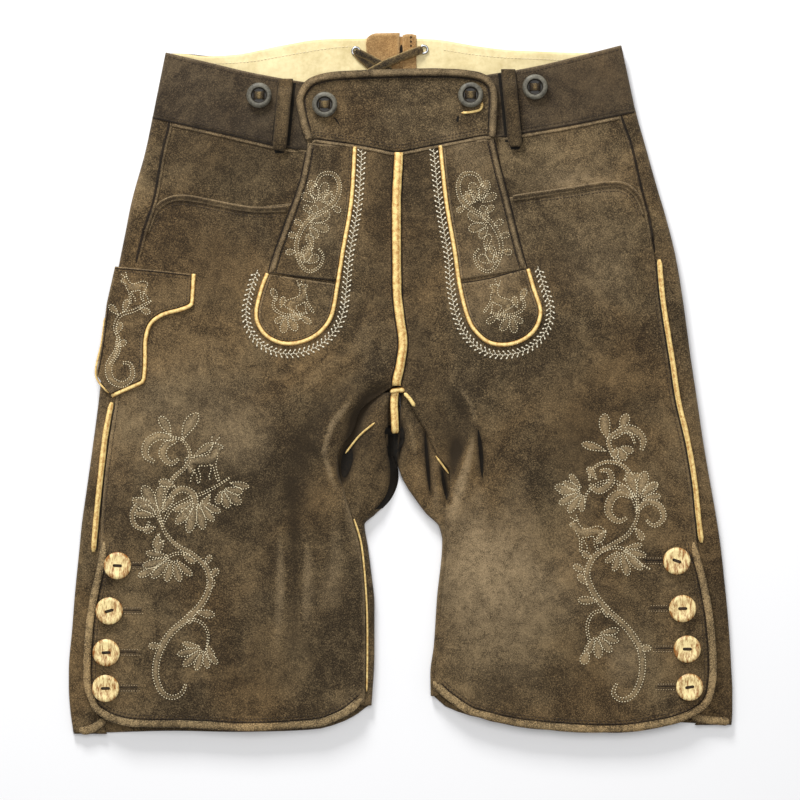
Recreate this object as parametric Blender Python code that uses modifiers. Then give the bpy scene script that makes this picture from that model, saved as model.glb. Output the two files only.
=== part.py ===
"""Short leather trousers (lederhosen) laid flat on a surface with the front up.

All tables are in millimetres: x runs to the wearer's left, y runs to the waist and z runs up
from the surface.  The leg and back panels are open sheets given thickness by Solidify, so every
panel is a wall with the garment's own hollow inside it.  Names ending in _r are on the wearer's
right (negative x) and names ending in _l on the wearer's left.
"""
import math
from collections import namedtuple

import bmesh
import bpy
from mathutils import Vector
from mathutils.bvhtree import BVHTree

MM = 0.001

# ---------------------------------------------------------------- driving dimensions (mm)
LEATHER = 2.0            # wall of the leg, back and hip panels
BAND_WALL = 3.0          # waistband: two layers glued and stitched
BACK_BAND_WALL = 2.4     # back waistband under its lining
LINING_WALL = 1.0
LAP = 2.5                # drop from a panel's outer face to the panel that runs under it
SEAM_GAP = 0.3           # air between two pieces at a seam
REST_GAP = 0.45          # air under a piece that lies on a panel
UNDERLAP = 3.0           # width of a panel that runs under its neighbour's edge

STAND = (-0.50, -0.84, 0.0)      # puts the origin under the middle of the garment

SUSPENDER_BUTTON_RADIUS = 10.5
SUSPENDER_BUTTON_HEIGHT = 5.0
HORN_BUTTON_RADIUS = 11.2
HORN_BUTTON_HEIGHT = 3.6
HORN_SLOT = (6.4, 1.5, 30)   # along, across and through the button
SLOT_SPREAD = 3.0        # from a suspender button's middle to each of its slots
BUTTON_STAND = 1.2       # air between a suspender button and the cloth
VENT_TOP = -130          # level where the side seam opens into the leg vent
BELT_LOOP_WIDTH = 12.0
BELT_LOOP_GAP = 4.8      # room for a belt between the waistband and a loop
FLAP_LIFT = 0.8          # the drop flap lies a little higher than the leg it belongs to
THIGH_LIFT = 3.4         # air under the back panel where it hangs between the legs
TONGUE_SPLIT = 3.0       # half the width of the tongue's lowest row

# ---------------------------------------------------------------- outline tables (mm)
# One row for each level from the waist to the hem.  "fold" is the outermost edge of the garment,
# "edge" is where the piece on top ends: the side seam, then the edge of the leg vent.
Side = namedtuple("Side", "y fold edge")
SIDES = {
    "r": (
        Side(279, -198, -194), Side(226, -208, -193), Side(197, -214, -199),
        Side(153, -226, -207), Side(128, -231, -215), Side(103, -236, -221),
        Side(60, -244, -228), Side(20, -250, -234), Side(-9, -253, -238),
        Side(-55, -259, -245), Side(-90, -264, -249), Side(-118, -268, -251),
        Side(-138, -270, -252), Side(-178, -274, -260), Side(-204, -276, -264),
        Side(-242, -279, -266), Side(-256, -279, -265), Side(-272, -278, -259),
        Side(-294, -275, -250),
    ),
    "l": (
        Side(285, 187, 184), Side(231, 198, 185), Side(202, 206, 194),
        Side(163, 217, 203), Side(143, 223, 208), Side(107, 232, 214),
        Side(71, 238, 217), Side(20, 245, 225), Side(-13, 250, 230),
        Side(-47, 255, 238), Side(-82, 261, 244), Side(-110, 266, 247),
        Side(-136, 270, 250), Side(-163, 273, 257), Side(-205, 277, 264),
        Side(-238, 279, 266), Side(-259, 280, 264), Side(-274, 280, 257),
        Side(-290, 279, 250),
    ),
}

# Inner leg, from the crotch to the hem.  "under" is the edge of the layer on the surface, "turn"
# is where the back panel turns over on top, "seam" is the front panel's inner edge.
Inner = namedtuple("Inner", "y under turn seam")
INNERS = {
    "r": (
        Inner(-2, -0.2, -3, -6), Inner(-10, -0.2, -7, -19), Inner(-23, -0.2, -10, -34),
        Inner(-38, -0.2, -10, -39), Inner(-60, -0.2, -10, -52), Inner(-74, -1, -10, -51),
        Inner(-88, -4, -13, -47), Inner(-100, -10, -18, -44), Inner(-110, -20, -26, -41),
        Inner(-118, -29, -31, -39), Inner(-136, -27, -27, -34), Inner(-160, -24, -24, -31),
        Inner(-184, -21.5, -21.5, -29.5), Inner(-226, -21.5, -21.5, -29),
        Inner(-272, -24, -24, -30),
    ),
    "l": (
        Inner(-2, 0.2, 1, 2), Inner(-10, 0.2, 1, 5), Inner(-23, 0.2, 0, 12),
        Inner(-38, 0.2, -2, 21), Inner(-60, 0.2, -4, 32), Inner(-74, 1.5, -1, 42),
        Inner(-86, 7, 5, 42), Inner(-98, 14, 14, 39), Inner(-108, 21, 22, 38),
        Inner(-120, 33, 33, 38), Inner(-132, 35.5, 35.5, 39.5), Inner(-181, 31, 31, 35),
        Inner(-219, 28.5, 28.5, 32.5), Inner(-244, 25.5, 25.5, 29.5), Inner(-270, 26, 26, 30),
    ),
}

# Centre front seam: it wanders a little down the trunk.
Centre = namedtuple("Centre", "y x")
CENTRES = (
    Centre(264, 0), Centre(195, -1), Centre(150, -3), Centre(80, -2.5), Centre(55, 0),
    Centre(35, 2.5), Centre(15, 0), Centre(0, -3), Centre(-12, -3),
)

# Height of the outer face of the top layer: at the side, between the edges and at the inner leg.
Height = namedtuple("Height", "y side mid inner")
HEIGHTS = (
    Height(290, 13, 16, 16), Height(226, 14, 17.5, 17), Height(150, 14, 18.5, 18),
    Height(85, 14, 18.5, 18), Height(0, 13, 17, 16), Height(-60, 12, 15, 13.5),
    Height(-120, 9.5, 13, 11.5), Height(-150, 8, 12.5, 11), Height(-290, 7.5, 11, 9.5),
)
BAND_SLOPE = 0.25        # fall of the waistband's lower seam from the side to the centre
SHOULDER = 45            # width over which the top layer rises from an edge

# Folds of the front panels: a soft ridge (positive) or trough along a line.
Fold = namedtuple("Fold", "x0 y0 x1 y1 width height")
FRONT_FOLDS = (
    Fold(-42, -16, -62, -42, 12, 3.5), Fold(-63, -46, -60, -72, 12, 3.5),
    Fold(-58, -80, -50, -118, 11, 2.2), Fold(50, 2, 62, -28, 12, 3.0),
    Fold(63, -32, 61, -66, 11, 3.5), Fold(60, -72, 50, -112, 11, 2.5),
    Fold(-20, 26, -70, -20, 14, -1.6), Fold(-92, -80, -89, -205, 14, -1.5),
    Fold(-88, -210, -66, -236, 13, -1.5), Fold(34, -12, 42, -36, 9, -1.5),
)
# Folds of the back panels where they show between the legs.
THIGH_FOLDS = (
    Fold(-24, -40, -20, -85, 9, 2.5), Fold(-46, -60, -50, -76, 5, -2.0),
    Fold(12, -40, 12, -80, 7, 2.0), Fold(22, -42, 26, -90, 4, -3.0),
    Fold(32, -64, 34, -96, 5, 1.5),
)

# ---------------------------------------------------------------- rows and edges (mm)
Rib = namedtuple("Rib", "width height")
# Levels of the back panel, and how far the hem dips below a straight line between its ends.
Row = namedtuple("Row", "outer inner")
BACK_ROWS = {
    "r": (Row(225.5, 231), Row(195, 198), Row(160, 162), Row(128, 126), Row(103, 98), Row(75, 68),
          Row(45, 36), Row(15, 6), Row(-2, -7), Row(-20, -26), Row(-36, -43), Row(-52, -59),
          Row(-68, -74), Row(-82, -88), Row(-96, -100), Row(-108, -110), Row(-119, -118),
          Row(-138, -136), Row(-163, -160), Row(-190, -186), Row(-216, -212), Row(-242, -236),
          Row(-268, -255), Row(-294, -270)),
    "l": (Row(230.5, 231), Row(198, 198), Row(163, 162), Row(128, 126), Row(103, 98), Row(75, 68),
          Row(45, 36), Row(15, 6), Row(-2, -7), Row(-20, -26), Row(-36, -43), Row(-52, -59),
          Row(-68, -74), Row(-82, -87), Row(-96, -98), Row(-108, -108), Row(-119, -120),
          Row(-138, -134), Row(-163, -158), Row(-190, -184), Row(-216, -210), Row(-242, -232),
          Row(-266, -248), Row(-290, -262)),
}
Dip = namedtuple("Dip", "across drop")
BACK_HEM = {
    "r": (Dip(0, 0), Dip(0.3, -5), Dip(0.6, -13), Dip(0.82, -16), Dip(0.92, -11), Dip(1, 0)),
    "l": (Dip(0, 0), Dip(0.24, -10), Dip(0.44, -17.5), Dip(0.66, -20.5), Dip(0.84, -17),
          Dip(0.95, -9), Dip(1, 0)),
}
BACK_COLUMNS = (0.0, 0.06, 0.16, 0.3, 0.5, 0.75)      # across the back, inner leg to side
THIGH_ROW = 8            # row of the back panel that first shows on top, at the crotch
CROTCH_ROW = 12          # first row of the back panel that is open between the legs
BACK_HEM_ROW = 19        # row of the back panel where the dip of its hem begins
FRONT_ROWS = {
    "r": (Row(92, 78), Row(62, 48), Row(32, 20), Row(8, -2), Row(-9, -14), Row(-24, -26),
          Row(-40, -40), Row(-58, -55), Row(-76, -72), Row(-96, -92), Row(-118, -112),
          Row(-138, -134), Row(-160, -156), Row(-184, -180), Row(-210, -206), Row(-236, -230),
          Row(-256, -250), Row(-274, -266)),
    "l": (Row(94, 80), Row(64, 50), Row(34, 22), Row(8, -2), Row(-9, -14), Row(-24, -26),
          Row(-40, -40), Row(-58, -55), Row(-76, -72), Row(-96, -92), Row(-114, -112),
          Row(-136, -132), Row(-158, -152), Row(-182, -174), Row(-208, -198), Row(-234, -222),
          Row(-254, -241), Row(-272, -256)),
}
FRONT_HEM = {
    "r": (Dip(0, 0), Dip(0.06, -9), Dip(0.15, -14.5), Dip(0.35, -17), Dip(0.6, -21.5),
          Dip(0.82, -20), Dip(0.93, -12), Dip(1, 0)),
    "l": (Dip(0, 0), Dip(0.06, -9), Dip(0.15, -17), Dip(0.35, -26), Dip(0.5, -27), Dip(0.64, -26),
          Dip(0.84, -18), Dip(0.95, -8), Dip(1, 0)),
}
FRONT_HEM_ROW = 14       # row of the front panel where the dip of its hem begins
# Upper edge of the front panel along the pocket opening, from the side seam to the flap.
Point = namedtuple("Point", "x y")
POCKET_EDGE = {
    "r": (Point(-215, 129), Point(-206, 149), Point(-192, 158), Point(-176, 158.5),
          Point(-152, 154), Point(-122, 149), Point(-92, 150)),
    "l": (Point(208, 143), Point(201, 159), Point(189, 169), Point(172, 170), Point(146, 166),
          Point(118, 162), Point(91, 158)),
}
# Edge of the drop flap from the bib to the end of its slit.
FLAP_EDGE = {
    "r": (Point(-77, 202), Point(-83, 171), Point(-93, 142), Point(-104, 112), Point(-110, 92)),
    "l": (Point(78, 206), Point(84, 180), Point(91, 153), Point(100, 117), Point(106, 96)),
}
INNER_COLUMNS = (0, 0.22, 0.42, 0.6, 0.75, 0.87, 0.95, 1.0)   # across the flap, to the centre
SLIT_SHARE = {"r": 0.51, "l": 0.50}      # where the slit ends across the front panel
SLIT_COLUMNS = 6                         # columns from the side seam to the slit
POCKET_LEVELS = (0.45, 0.8, 1.0)         # rows from the slit's end up to the pocket opening
FLAP_LEVELS = (0.2, 0.45, 0.7, 1.0)      # rows from the slit's end up to the bib

# Waistband, front (top and lower edge, side to centre) and back.
BAND_TOP = {
    "r": (Point(-197, 279), Point(-160, 270), Point(-127, 262), Point(-83, 254), Point(-45, 250)),
    "l": (Point(186, 285), Point(132, 271), Point(105, 265), Point(81, 261), Point(45, 255)),
}
BAND_BOTTOM = {
    "r": (Point(-208, 226), Point(-155, 212.5), Point(-127, 206), Point(-100, 200),
          Point(-60, 194)),
    "l": (Point(198, 231), Point(148, 219), Point(120, 214), Point(96, 210), Point(60, 204)),
}
BACK_TOP = {
    "r": (Point(-192, 279), Point(-176, 278.4), Point(-157, 276.6), Point(-127, 278.2),
          Point(-107, 281.4), Point(-76, 286.9), Point(-46, 290.8), Point(-0.15, 291.6)),
    "l": (Point(181, 284.5), Point(170, 280.6), Point(155, 279.3), Point(125, 280.1),
          Point(85, 281.8), Point(55, 285.2), Point(24, 290.2), Point(0.15, 291.6)),
}
BAND_COLUMNS = (0, 0.012, 0.04, 0.09, 0.2, 0.32, 0.45, 0.6, 0.73, 0.87, 1)
# Lower edge of the back waistband and of its lining, and the angles at which they end at the side.
BACK_BAND_SIDE = {"r": 226.0, "l": 231.0}
BackBand = namedtuple("BackBand", "inset low stop")
BACK_BAND = BackBand(0.0, 231.4, -32)
BACK_LINING = BackBand(BACK_BAND_WALL + SEAM_GAP, 233.0, -45)
LINING_DROP = 0.3        # the lining ends this far below the band's top edge
# Hip piece behind the pocket opening: it runs on under the front panel and the flap.
HIP_TOP = {
    "r": (Point(-192.7, 221.9), Point(-155, 212), Point(-127, 205.6), Point(-100, 199.6),
          Point(-62, 193.8)),
    "l": (Point(184.7, 227.6), Point(148, 218.6), Point(120, 213.6), Point(96, 209.6),
          Point(62, 203.8)),
}
HIP_BOTTOM = {
    "r": (Point(-209, 118), Point(-190, 142), Point(-160, 141), Point(-120, 136), Point(-78, 136)),
    "l": (Point(202, 130), Point(188, 152), Point(160, 152), Point(118, 148), Point(74, 144)),
}
# Bib at the top of the flap: its rounded upper edge and its lower seam, right to left.
BIB_TOP = (Point(-85, 226), Point(-86.5, 240), Point(-80, 252.5), Point(-70, 258.5),
           Point(-55, 261.5), Point(-28, 263), Point(3, 264), Point(30, 264.2), Point(50, 263.5),
           Point(68, 260.5), Point(78, 253.5), Point(81.5, 242), Point(81, 226))
BIB_BOTTOM = (Point(-77, 201), Point(-72, 206), Point(-58, 204.5), Point(-40, 202),
              Point(-20, 198.5), Point(-5, 195.5), Point(8, 197), Point(20, 199.5),
              Point(36, 202.5), Point(54, 206), Point(70, 209), Point(78, 208), Point(80, 204))

# Embroidered straps on the flap and the rounded tongues that close the slits.
STRAP_INNER = {
    "r": (Point(-40, 199), Point(-43, 153), Point(-50, 112), Point(-54, 88)),
    "l": (Point(36, 200), Point(41, 153), Point(48, 112), Point(51, 88)),
}
TONGUE = {
    "r": (Point(-109, 92), Point(-114, 79), Point(-118, 62), Point(-117, 52), Point(-111, 43),
          Point(-101, 37.5), Point(-90, 36.5), Point(-77, 40), Point(-66, 48), Point(-59, 60),
          Point(-54.5, 84)),
    "l": (Point(105, 96), Point(110, 79), Point(115, 64), Point(114.5, 55), Point(110, 46),
          Point(101, 39), Point(88, 35.5), Point(75, 37.5), Point(65, 46), Point(58.5, 58),
          Point(52, 84)),
}
KNIFE_POCKET = (Point(-239, 99), Point(-206, 96), Point(-175, 92.5), Point(-176.5, 68),
                Point(-184, 65), Point(-200, 60.5), Point(-211, 52), Point(-215.5, 38),
                Point(-216, 18), Point(-217, 4), Point(-231, -2), Point(-243, -7.5),
                Point(-255, 8), Point(-250, 36), Point(-246, 68))

CENTRE_RIB = Rib(7.6, 3.0)
CROTCH_RIB = Rib(6.5, 2.6)
CROTCH_TAB_HEIGHT = 13.5
STRAP_RIB = Rib(4.0, 2.2)
SIDE_RIB = Rib(5.0, 3.0)
THIN_RIB = Rib(2.2, 1.4)
HEM_ROLL = Rib(6.4, 1.7)
POCKET_ROLL = Rib(5.2, 1.5)
BIB_ROLL = Rib(6.2, 2.0)

# Parts of the lacing at the back of the waist.
NOTCH = {
    "r": (Point(-31, 288), Point(-27, 262), Point(-25, 236)),
    "l": (Point(15.5, 288), Point(15, 262), Point(15, 236)),
}
GUSSET_TOP = {
    "r": (Point(-28.5, 287), Point(-26, 294.5), Point(-18, 296), Point(-1, 296)),
    "l": (Point(2.5, 294), Point(6, 295), Point(10, 295), Point(13.5, 294)),
}
GUSSET_FOOT = {
    "r": (Point(-24.5, 254), Point(-1, 254)),
    "l": (Point(2.5, 254), Point(13.5, 254)),
}
LACES = {
    "r": (Point(-32.5, 277.5), Point(-27, 273), Point(-20, 267), Point(-13, 260)),
    "l": (Point(19, 282), Point(8, 278), Point(-10, 270.5), Point(-24, 263), Point(-32, 258)),
}
LACE_RIB = Rib(6.3, 1.9)
LACE_HEIGHT = {"r": 5.0, "l": 7.5}       # the left lace crosses over the right one
EYELETS = {"r": Point(-37, 280.5), "l": Point(20, 282)}
BELT_LOOPS = {
    "r": (Point(-95.5, 256), Point(-101, 196)),
    "l": (Point(90.5, 264), Point(96.5, 199)),
}
# A belt loop from its upper to its lower end: height over the waistband.
Bow = namedtuple("Bow", "share rise")
LOOP_BOW = (
    Bow(0, 0.45), Bow(0.1, 0.45), Bow(0.17, 2.6), Bow(0.24, BELT_LOOP_GAP), Bow(0.5, 5.4),
    Bow(0.76, BELT_LOOP_GAP), Bow(0.83, 2.6), Bow(0.9, 0.45), Bow(1, 0.45),
)
SIDE_PIPING = {
    "r": (Point(-242, -15), Point(-246.5, -37), Point(-249, -55), Point(-253, -90),
          Point(-255.5, -114), Point(-258, -141)),
    "l": (Point(217.5, 105), Point(220.5, 71), Point(228.5, 20), Point(233.5, -13),
          Point(241.5, -47), Point(247.5, -82), Point(250.5, -110), Point(253.5, -133)),
}
INSEAM_PIPING = (Point(-38.6, -113), Point(-32, -137), Point(-28, -184), Point(-27.4, -226),
                 Point(-28, -258))
CROTCH_PIPING = {
    "r": (Point(-21, -32), Point(-33, -44), Point(-44, -55)),
    "l": (Point(28, -60), Point(38, -74)),
}
CROTCH_TAB = (Point(-3.5, -4), Point(-5, -14), Point(-4.5, -28), Point(-4, -41))

HORN_BUTTONS = {
    "r": (Point(-237, -152), Point(-244, -190), Point(-246.5, -225), Point(-247, -255)),
    "l": (Point(232, -148), Point(237, -188), Point(241, -222), Point(243, -254)),
}
SUSPENDER_BUTTONS = {
    "band_r": Point(-118, 242), "bib_r": Point(-63, 234),
    "bib_l": Point(59, 242), "band_l": Point(113, 249),
}

Finish = namedtuple("Finish", "colour roughness metallic")
FINISHES = {
    "suede": Finish((0.075, 0.054, 0.036), 0.95, 0.0),
    "band_suede": Finish((0.060, 0.047, 0.038), 0.95, 0.0),
    "piping": Finish((0.72, 0.44, 0.14), 0.7, 0.0),
    "lining": Finish((0.87, 0.78, 0.52), 0.8, 0.0),
    "camel": Finish((0.50, 0.30, 0.13), 0.9, 0.0),
    "horn": Finish((0.70, 0.50, 0.26), 0.4, 0.0),
    "button_grey": Finish((0.13, 0.12, 0.11), 0.45, 0.0),
    "thong": Finish((0.06, 0.035, 0.02), 0.8, 0.0),
    "metal": Finish((0.40, 0.40, 0.42), 0.35, 1.0),
}


# ---------------------------------------------------------------- reading the tables
def at_level(rows, column, y):
    """Value of one column at level y: straight between rows, held beyond the ends."""
    if y >= rows[0].y:
        return getattr(rows[0], column)
    for upper, lower in zip(rows, rows[1:]):
        if y >= lower.y:
            share = (upper.y - y) / (upper.y - lower.y)
            return (1 - share) * getattr(upper, column) + share * getattr(lower, column)
    return getattr(rows[-1], column)


def along(points, share):
    """Point at a share (0 to 1) of the length of a line of points."""
    lengths = [math.hypot(b.x - a.x, b.y - a.y) for a, b in zip(points, points[1:])]
    left = share * sum(lengths)
    for (a, b), length in zip(zip(points, points[1:]), lengths):
        if left <= length:
            step = left / length if length else 0.0
            return Point(a.x + (b.x - a.x) * step, a.y + (b.y - a.y) * step)
        left -= length
    return points[-1]


def dip_at(rows, across):
    """Drop of a hem at a share of the way across."""
    for a, b in zip(rows, rows[1:]):
        if across <= b.across:
            share = (across - a.across) / (b.across - a.across)
            return a.drop + (b.drop - a.drop) * share
    return rows[-1].drop


def smooth_line(points, step):
    """Points every step mm along a curve through the given points (Catmull-Rom)."""
    ends = [points[0]] + list(points) + [points[-1]]
    line = [points[0]]
    for a, b, c, d in zip(ends, ends[1:], ends[2:], ends[3:]):
        count = max(1, round(math.hypot(c.x - b.x, c.y - b.y) / step))
        for index in range(1, count + 1):
            t = index / count
            weights = (-0.5 * t + t ** 2 - 0.5 * t ** 3, 1 - 2.5 * t ** 2 + 1.5 * t ** 3,
                       0.5 * t + 2 * t ** 2 - 1.5 * t ** 3, -0.5 * t ** 2 + 0.5 * t ** 3)
            line.append(Point(sum(w * p.x for w, p in zip(weights, (a, b, c, d))),
                              sum(w * p.y for w, p in zip(weights, (a, b, c, d)))))
    return line


# ---------------------------------------------------------------- heights
def fade(distance, width):
    """1 at an edge, easing to 0 at a width from it."""
    u = min(1.0, max(0.0, distance / width))
    return (1 - u) ** 2 * (1 + 2 * u)


def relief(folds, x, y):
    """Sum of the soft ridges and troughs at a point."""
    total = 0.0
    for fold in folds:
        run = Vector((fold.x1 - fold.x0, fold.y1 - fold.y0))
        offset = Vector((x - fold.x0, y - fold.y0))
        share = offset.dot(run) / run.length_squared
        near = min(1.0, max(0.0, share))
        distance = (offset - run * near).length
        total += fold.height * math.exp(-(distance / fold.width) ** 2)
    return total


def level_height(side, x, y):
    """Outer face of the top layer without its folds."""
    outer = abs(x - at_level(SIDES[side], "fold", y))
    middle = at_level(HEIGHTS, "mid", y)
    height = middle - (middle - at_level(HEIGHTS, "side", y)) * fade(outer - 8, SHOULDER)
    if y < INNERS[side][0].y:
        inner = abs(x - at_level(INNERS[side], "turn", y))
        height -= (middle - at_level(HEIGHTS, "inner", y)) * fade(inner, SHOULDER * 0.7)
    return height


def top_height(side, x, y):
    """Outer face of the front panel."""
    return level_height(side, x, y) + relief(FRONT_FOLDS, x, y)


def side_radius(y):
    return (at_level(HEIGHTS, "side", y) - LAP) / 2


def inner_radius(y):
    return (at_level(HEIGHTS, "inner", y) - LAP) / 2


# ---------------------------------------------------------------- making objects
def material(name):
    """Principled material for one of the finishes."""
    if name in bpy.data.materials:
        return bpy.data.materials[name]
    finish = FINISHES[name]
    made = bpy.data.materials.new(name)
    made.use_nodes = True
    shader = made.node_tree.nodes["Principled BSDF"]
    shader.inputs["Base Color"].default_value = (*finish.colour, 1.0)
    shader.inputs["Roughness"].default_value = finish.roughness
    shader.inputs["Metallic"].default_value = finish.metallic
    return made


def add_object(name, mesh, finish):
    """Link a mesh to the garment's collection with its material, under the stand."""
    obj = bpy.data.objects.new(name, mesh)
    garment.objects.link(obj)
    obj.parent = stand
    if not mesh.materials:
        mesh.materials.append(material(finish))
    return obj


def sheet(name, grids, wall, finish, turned):
    """Panel with its outer face through grids of points, and its wall inside that face."""
    shape = bmesh.new()
    for grid in grids:
        rows = [[shape.verts.new(Vector(point) * MM) for point in row] for row in grid]
        for upper, lower in zip(rows, rows[1:]):
            for a, b, c, d in zip(upper, lower, lower[1:], upper[1:]):
                shape.faces.new((a, b, c, d) if turned else (d, c, b, a))
    bmesh.ops.remove_doubles(shape, verts=shape.verts, dist=0.02 * MM)
    mesh = bpy.data.meshes.new(name)
    shape.to_mesh(mesh)
    shape.free()
    obj = add_object(name, mesh, finish)
    solid = obj.modifiers.new("wall", "SOLIDIFY")
    solid.thickness = wall * MM
    solid.offset = -1
    solid.use_even_offset = True
    solid.use_quality_normals = True
    mesh.shade_smooth()
    return obj


def surfaces(*names):
    """Trees for finding the top of the pieces already made."""
    bpy.context.view_layer.update()
    graph = bpy.context.evaluated_depsgraph_get()
    return [BVHTree.FromObject(bpy.data.objects[name], graph) for name in names]


def top_of(trees, x, y, fallback=0.0):
    """Height (mm) of the highest face under a point."""
    start = Vector((x * MM, y * MM, 0.2))
    hits = [tree.ray_cast(start, Vector((0, 0, -1)))[0] for tree in trees]
    found = [hit.z / MM for hit in hits if hit is not None]
    return max(found) if found else fallback


def rib(name, path, size, trees, finish, lift=REST_GAP, base=None):
    """Half-round strip that follows a path over the pieces below it."""
    shape = bmesh.new()
    rings = []
    last = 0.0
    for before, point, after in zip([path[0], *path], path, [*path[1:], path[-1]]):
        run = Vector((after.x - before.x, after.y - before.y)).normalized()
        across = Vector((-run.y, run.x))
        reach = size.width / 2
        heights = [top_of(trees, point.x + across.x * reach * k,
                          point.y + across.y * reach * k, last)
                   for k in (-1, 0, 1)] if base is None else [base]
        last = max(heights)
        floor = last + lift
        section = ((-1, 0.0), (-0.8, 0.7), (0, 1.0), (0.8, 0.7), (1, 0.0))
        rings.append([shape.verts.new(Vector((point.x + across.x * reach * k,
                                              point.y + across.y * reach * k,
                                              floor + size.height * rise)) * MM)
                      for k, rise in section])
    for here, there in zip(rings, rings[1:]):
        for k in range(len(here)):
            n = (k + 1) % len(here)
            shape.faces.new((here[k], here[n], there[n], there[k]))
    shape.faces.new(rings[0][::-1])
    shape.faces.new(rings[-1])
    bmesh.ops.recalc_face_normals(shape, faces=shape.faces)
    mesh = bpy.data.meshes.new(name)
    shape.to_mesh(mesh)
    shape.free()
    return add_object(name, mesh, finish)


def patch(name, left, right, rows, columns, wall, finish, trees, reach=3.0):
    """Flat piece between two edge lines, laid over the pieces below it."""
    grid = []
    for j in range(rows + 1):
        a = along(left, j / rows)
        b = along(right, j / rows)
        line = []
        for i in range(columns + 1):
            x = a.x + (b.x - a.x) * i / columns
            y = a.y + (b.y - a.y) * i / columns
            line.append((x, y))
        grid.append(line)
    return lay(name, grid, wall, finish, trees, reach)


def lay(name, grid, wall, finish, trees, reach):
    """Sheet through a grid of (x, y) points, resting on the pieces below."""
    placed = []
    for row in grid:
        line = []
        for x, y in row:
            spots = [(x + dx, y + dy) for dx in (-reach, 0, reach) for dy in (-reach, 0, reach)]
            ground = max(top_of(trees, sx, sy) for sx, sy in spots)
            line.append((x, y, ground + REST_GAP + wall))
        placed.append(line)
    return sheet(name, [placed], wall, finish, True)


# ---------------------------------------------------------------- panels
def arc(side, edge, radius, start, stop, steps):
    """Points (x, z) round a side fold, from below (-90 degrees) to above (90)."""
    inward = 1 if side == "r" else -1
    points = []
    for index in range(steps + 1):
        angle = math.radians(start + (stop - start) * index / steps)
        points.append((edge + inward * radius * (1 - math.cos(angle)),
                       radius * (1 + math.sin(angle))))
    return points


def back_inner_x(side, j):
    """Inner end of a row of the back panel where it lies on the surface."""
    inward = 1 if side == "r" else -1
    if j < CROTCH_ROW:
        return -inward * SEAM_GAP / 2
    y = BACK_ROWS[side][j].inner
    return at_level(INNERS[side], "under", y) - inward * inner_radius(y) * 0.5


def back_panel(side):
    """Flat on the surface, round the side fold to the side seam, round the inner leg to the
    inseam."""
    inward = 1 if side == "r" else -1
    rows = BACK_ROWS[side]
    main = []
    thigh = []
    for j, row in enumerate(rows):
        y_fold = row.outer
        radius = side_radius(y_fold)
        fold = at_level(SIDES[side], "fold", y_fold)
        start = fold + inward * radius
        inner_x = back_inner_x(side, j)
        weight = max(0.0, (j - BACK_HEM_ROW) / (len(rows) - 1 - BACK_HEM_ROW))
        line = []
        for share in BACK_COLUMNS:
            x = inner_x + (start - inner_x) * share
            y = row.inner + (y_fold - row.inner) * share
            line.append((x, y + dip_at(BACK_HEM[side], 1 - share) * weight, 0.0))
        slope = BAND_SLOPE * fade(j, 4)
        for x, z in arc(side, fold, radius, -90, 90, 5):
            line.append((x, y_fold - slope * abs(x - fold) * (z > radius), z))
        near = at_level(SIDES[side], "edge", y_fold)
        edge = at_level(SIDES[side], "edge", y_fold - slope * abs(near - fold))
        lapped = edge + inward * (UNDERLAP if y_fold < 120 else -SEAM_GAP)
        first = line[-1]
        for share in (0.5, 1.0):
            x = first[0] + (lapped - first[0]) * share
            y = y_fold - slope * abs(x - fold)
            top = level_height(side, x, y) - LAP
            line.append((x, y, first[2] + (top - first[2]) * share))
        main.append(line)
        if j >= THIGH_ROW:
            radius = inner_radius(row.inner)
            turn = at_level(INNERS[side], "turn", row.inner)
            seam = at_level(INNERS[side], "seam", row.inner)
            hanging = j < CROTCH_ROW
            base = THIGH_LIFT if hanging else 0.0
            under = turn - inward * 2 if hanging else line[0][0]
            strip = [(under, row.inner, base)]
            for angle in (-45, 0, 45, 80):
                rise = math.sin(math.radians(angle))
                out = math.cos(math.radians(angle))
                edge_x = turn if hanging else (
                    at_level(INNERS[side], "under", row.inner) * (1 - rise) / 2
                    + turn * (1 + rise) / 2)
                z = base + (2 * radius - base) * (1 + rise) / 2
                strip.append((edge_x - inward * radius * 0.5 * (1 - out), row.inner, z))
            last = strip[-1]
            lapped = seam - inward * UNDERLAP
            for share in (0.25, 0.5, 0.75, 1.0):
                x = last[0] + (lapped - last[0]) * share
                top = level_height(side, x, row.inner) - LAP
                z = last[2] + (top - last[2]) * share
                strip.append((x, row.inner, z + relief(THIGH_FOLDS, x, row.inner) * (1 - share)))
            thigh.append(strip)
    grids = [main, [row[::-1] for row in thigh]]
    return sheet(f"back_panel_{side}", grids, LEATHER, "suede", side == "r")


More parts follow.
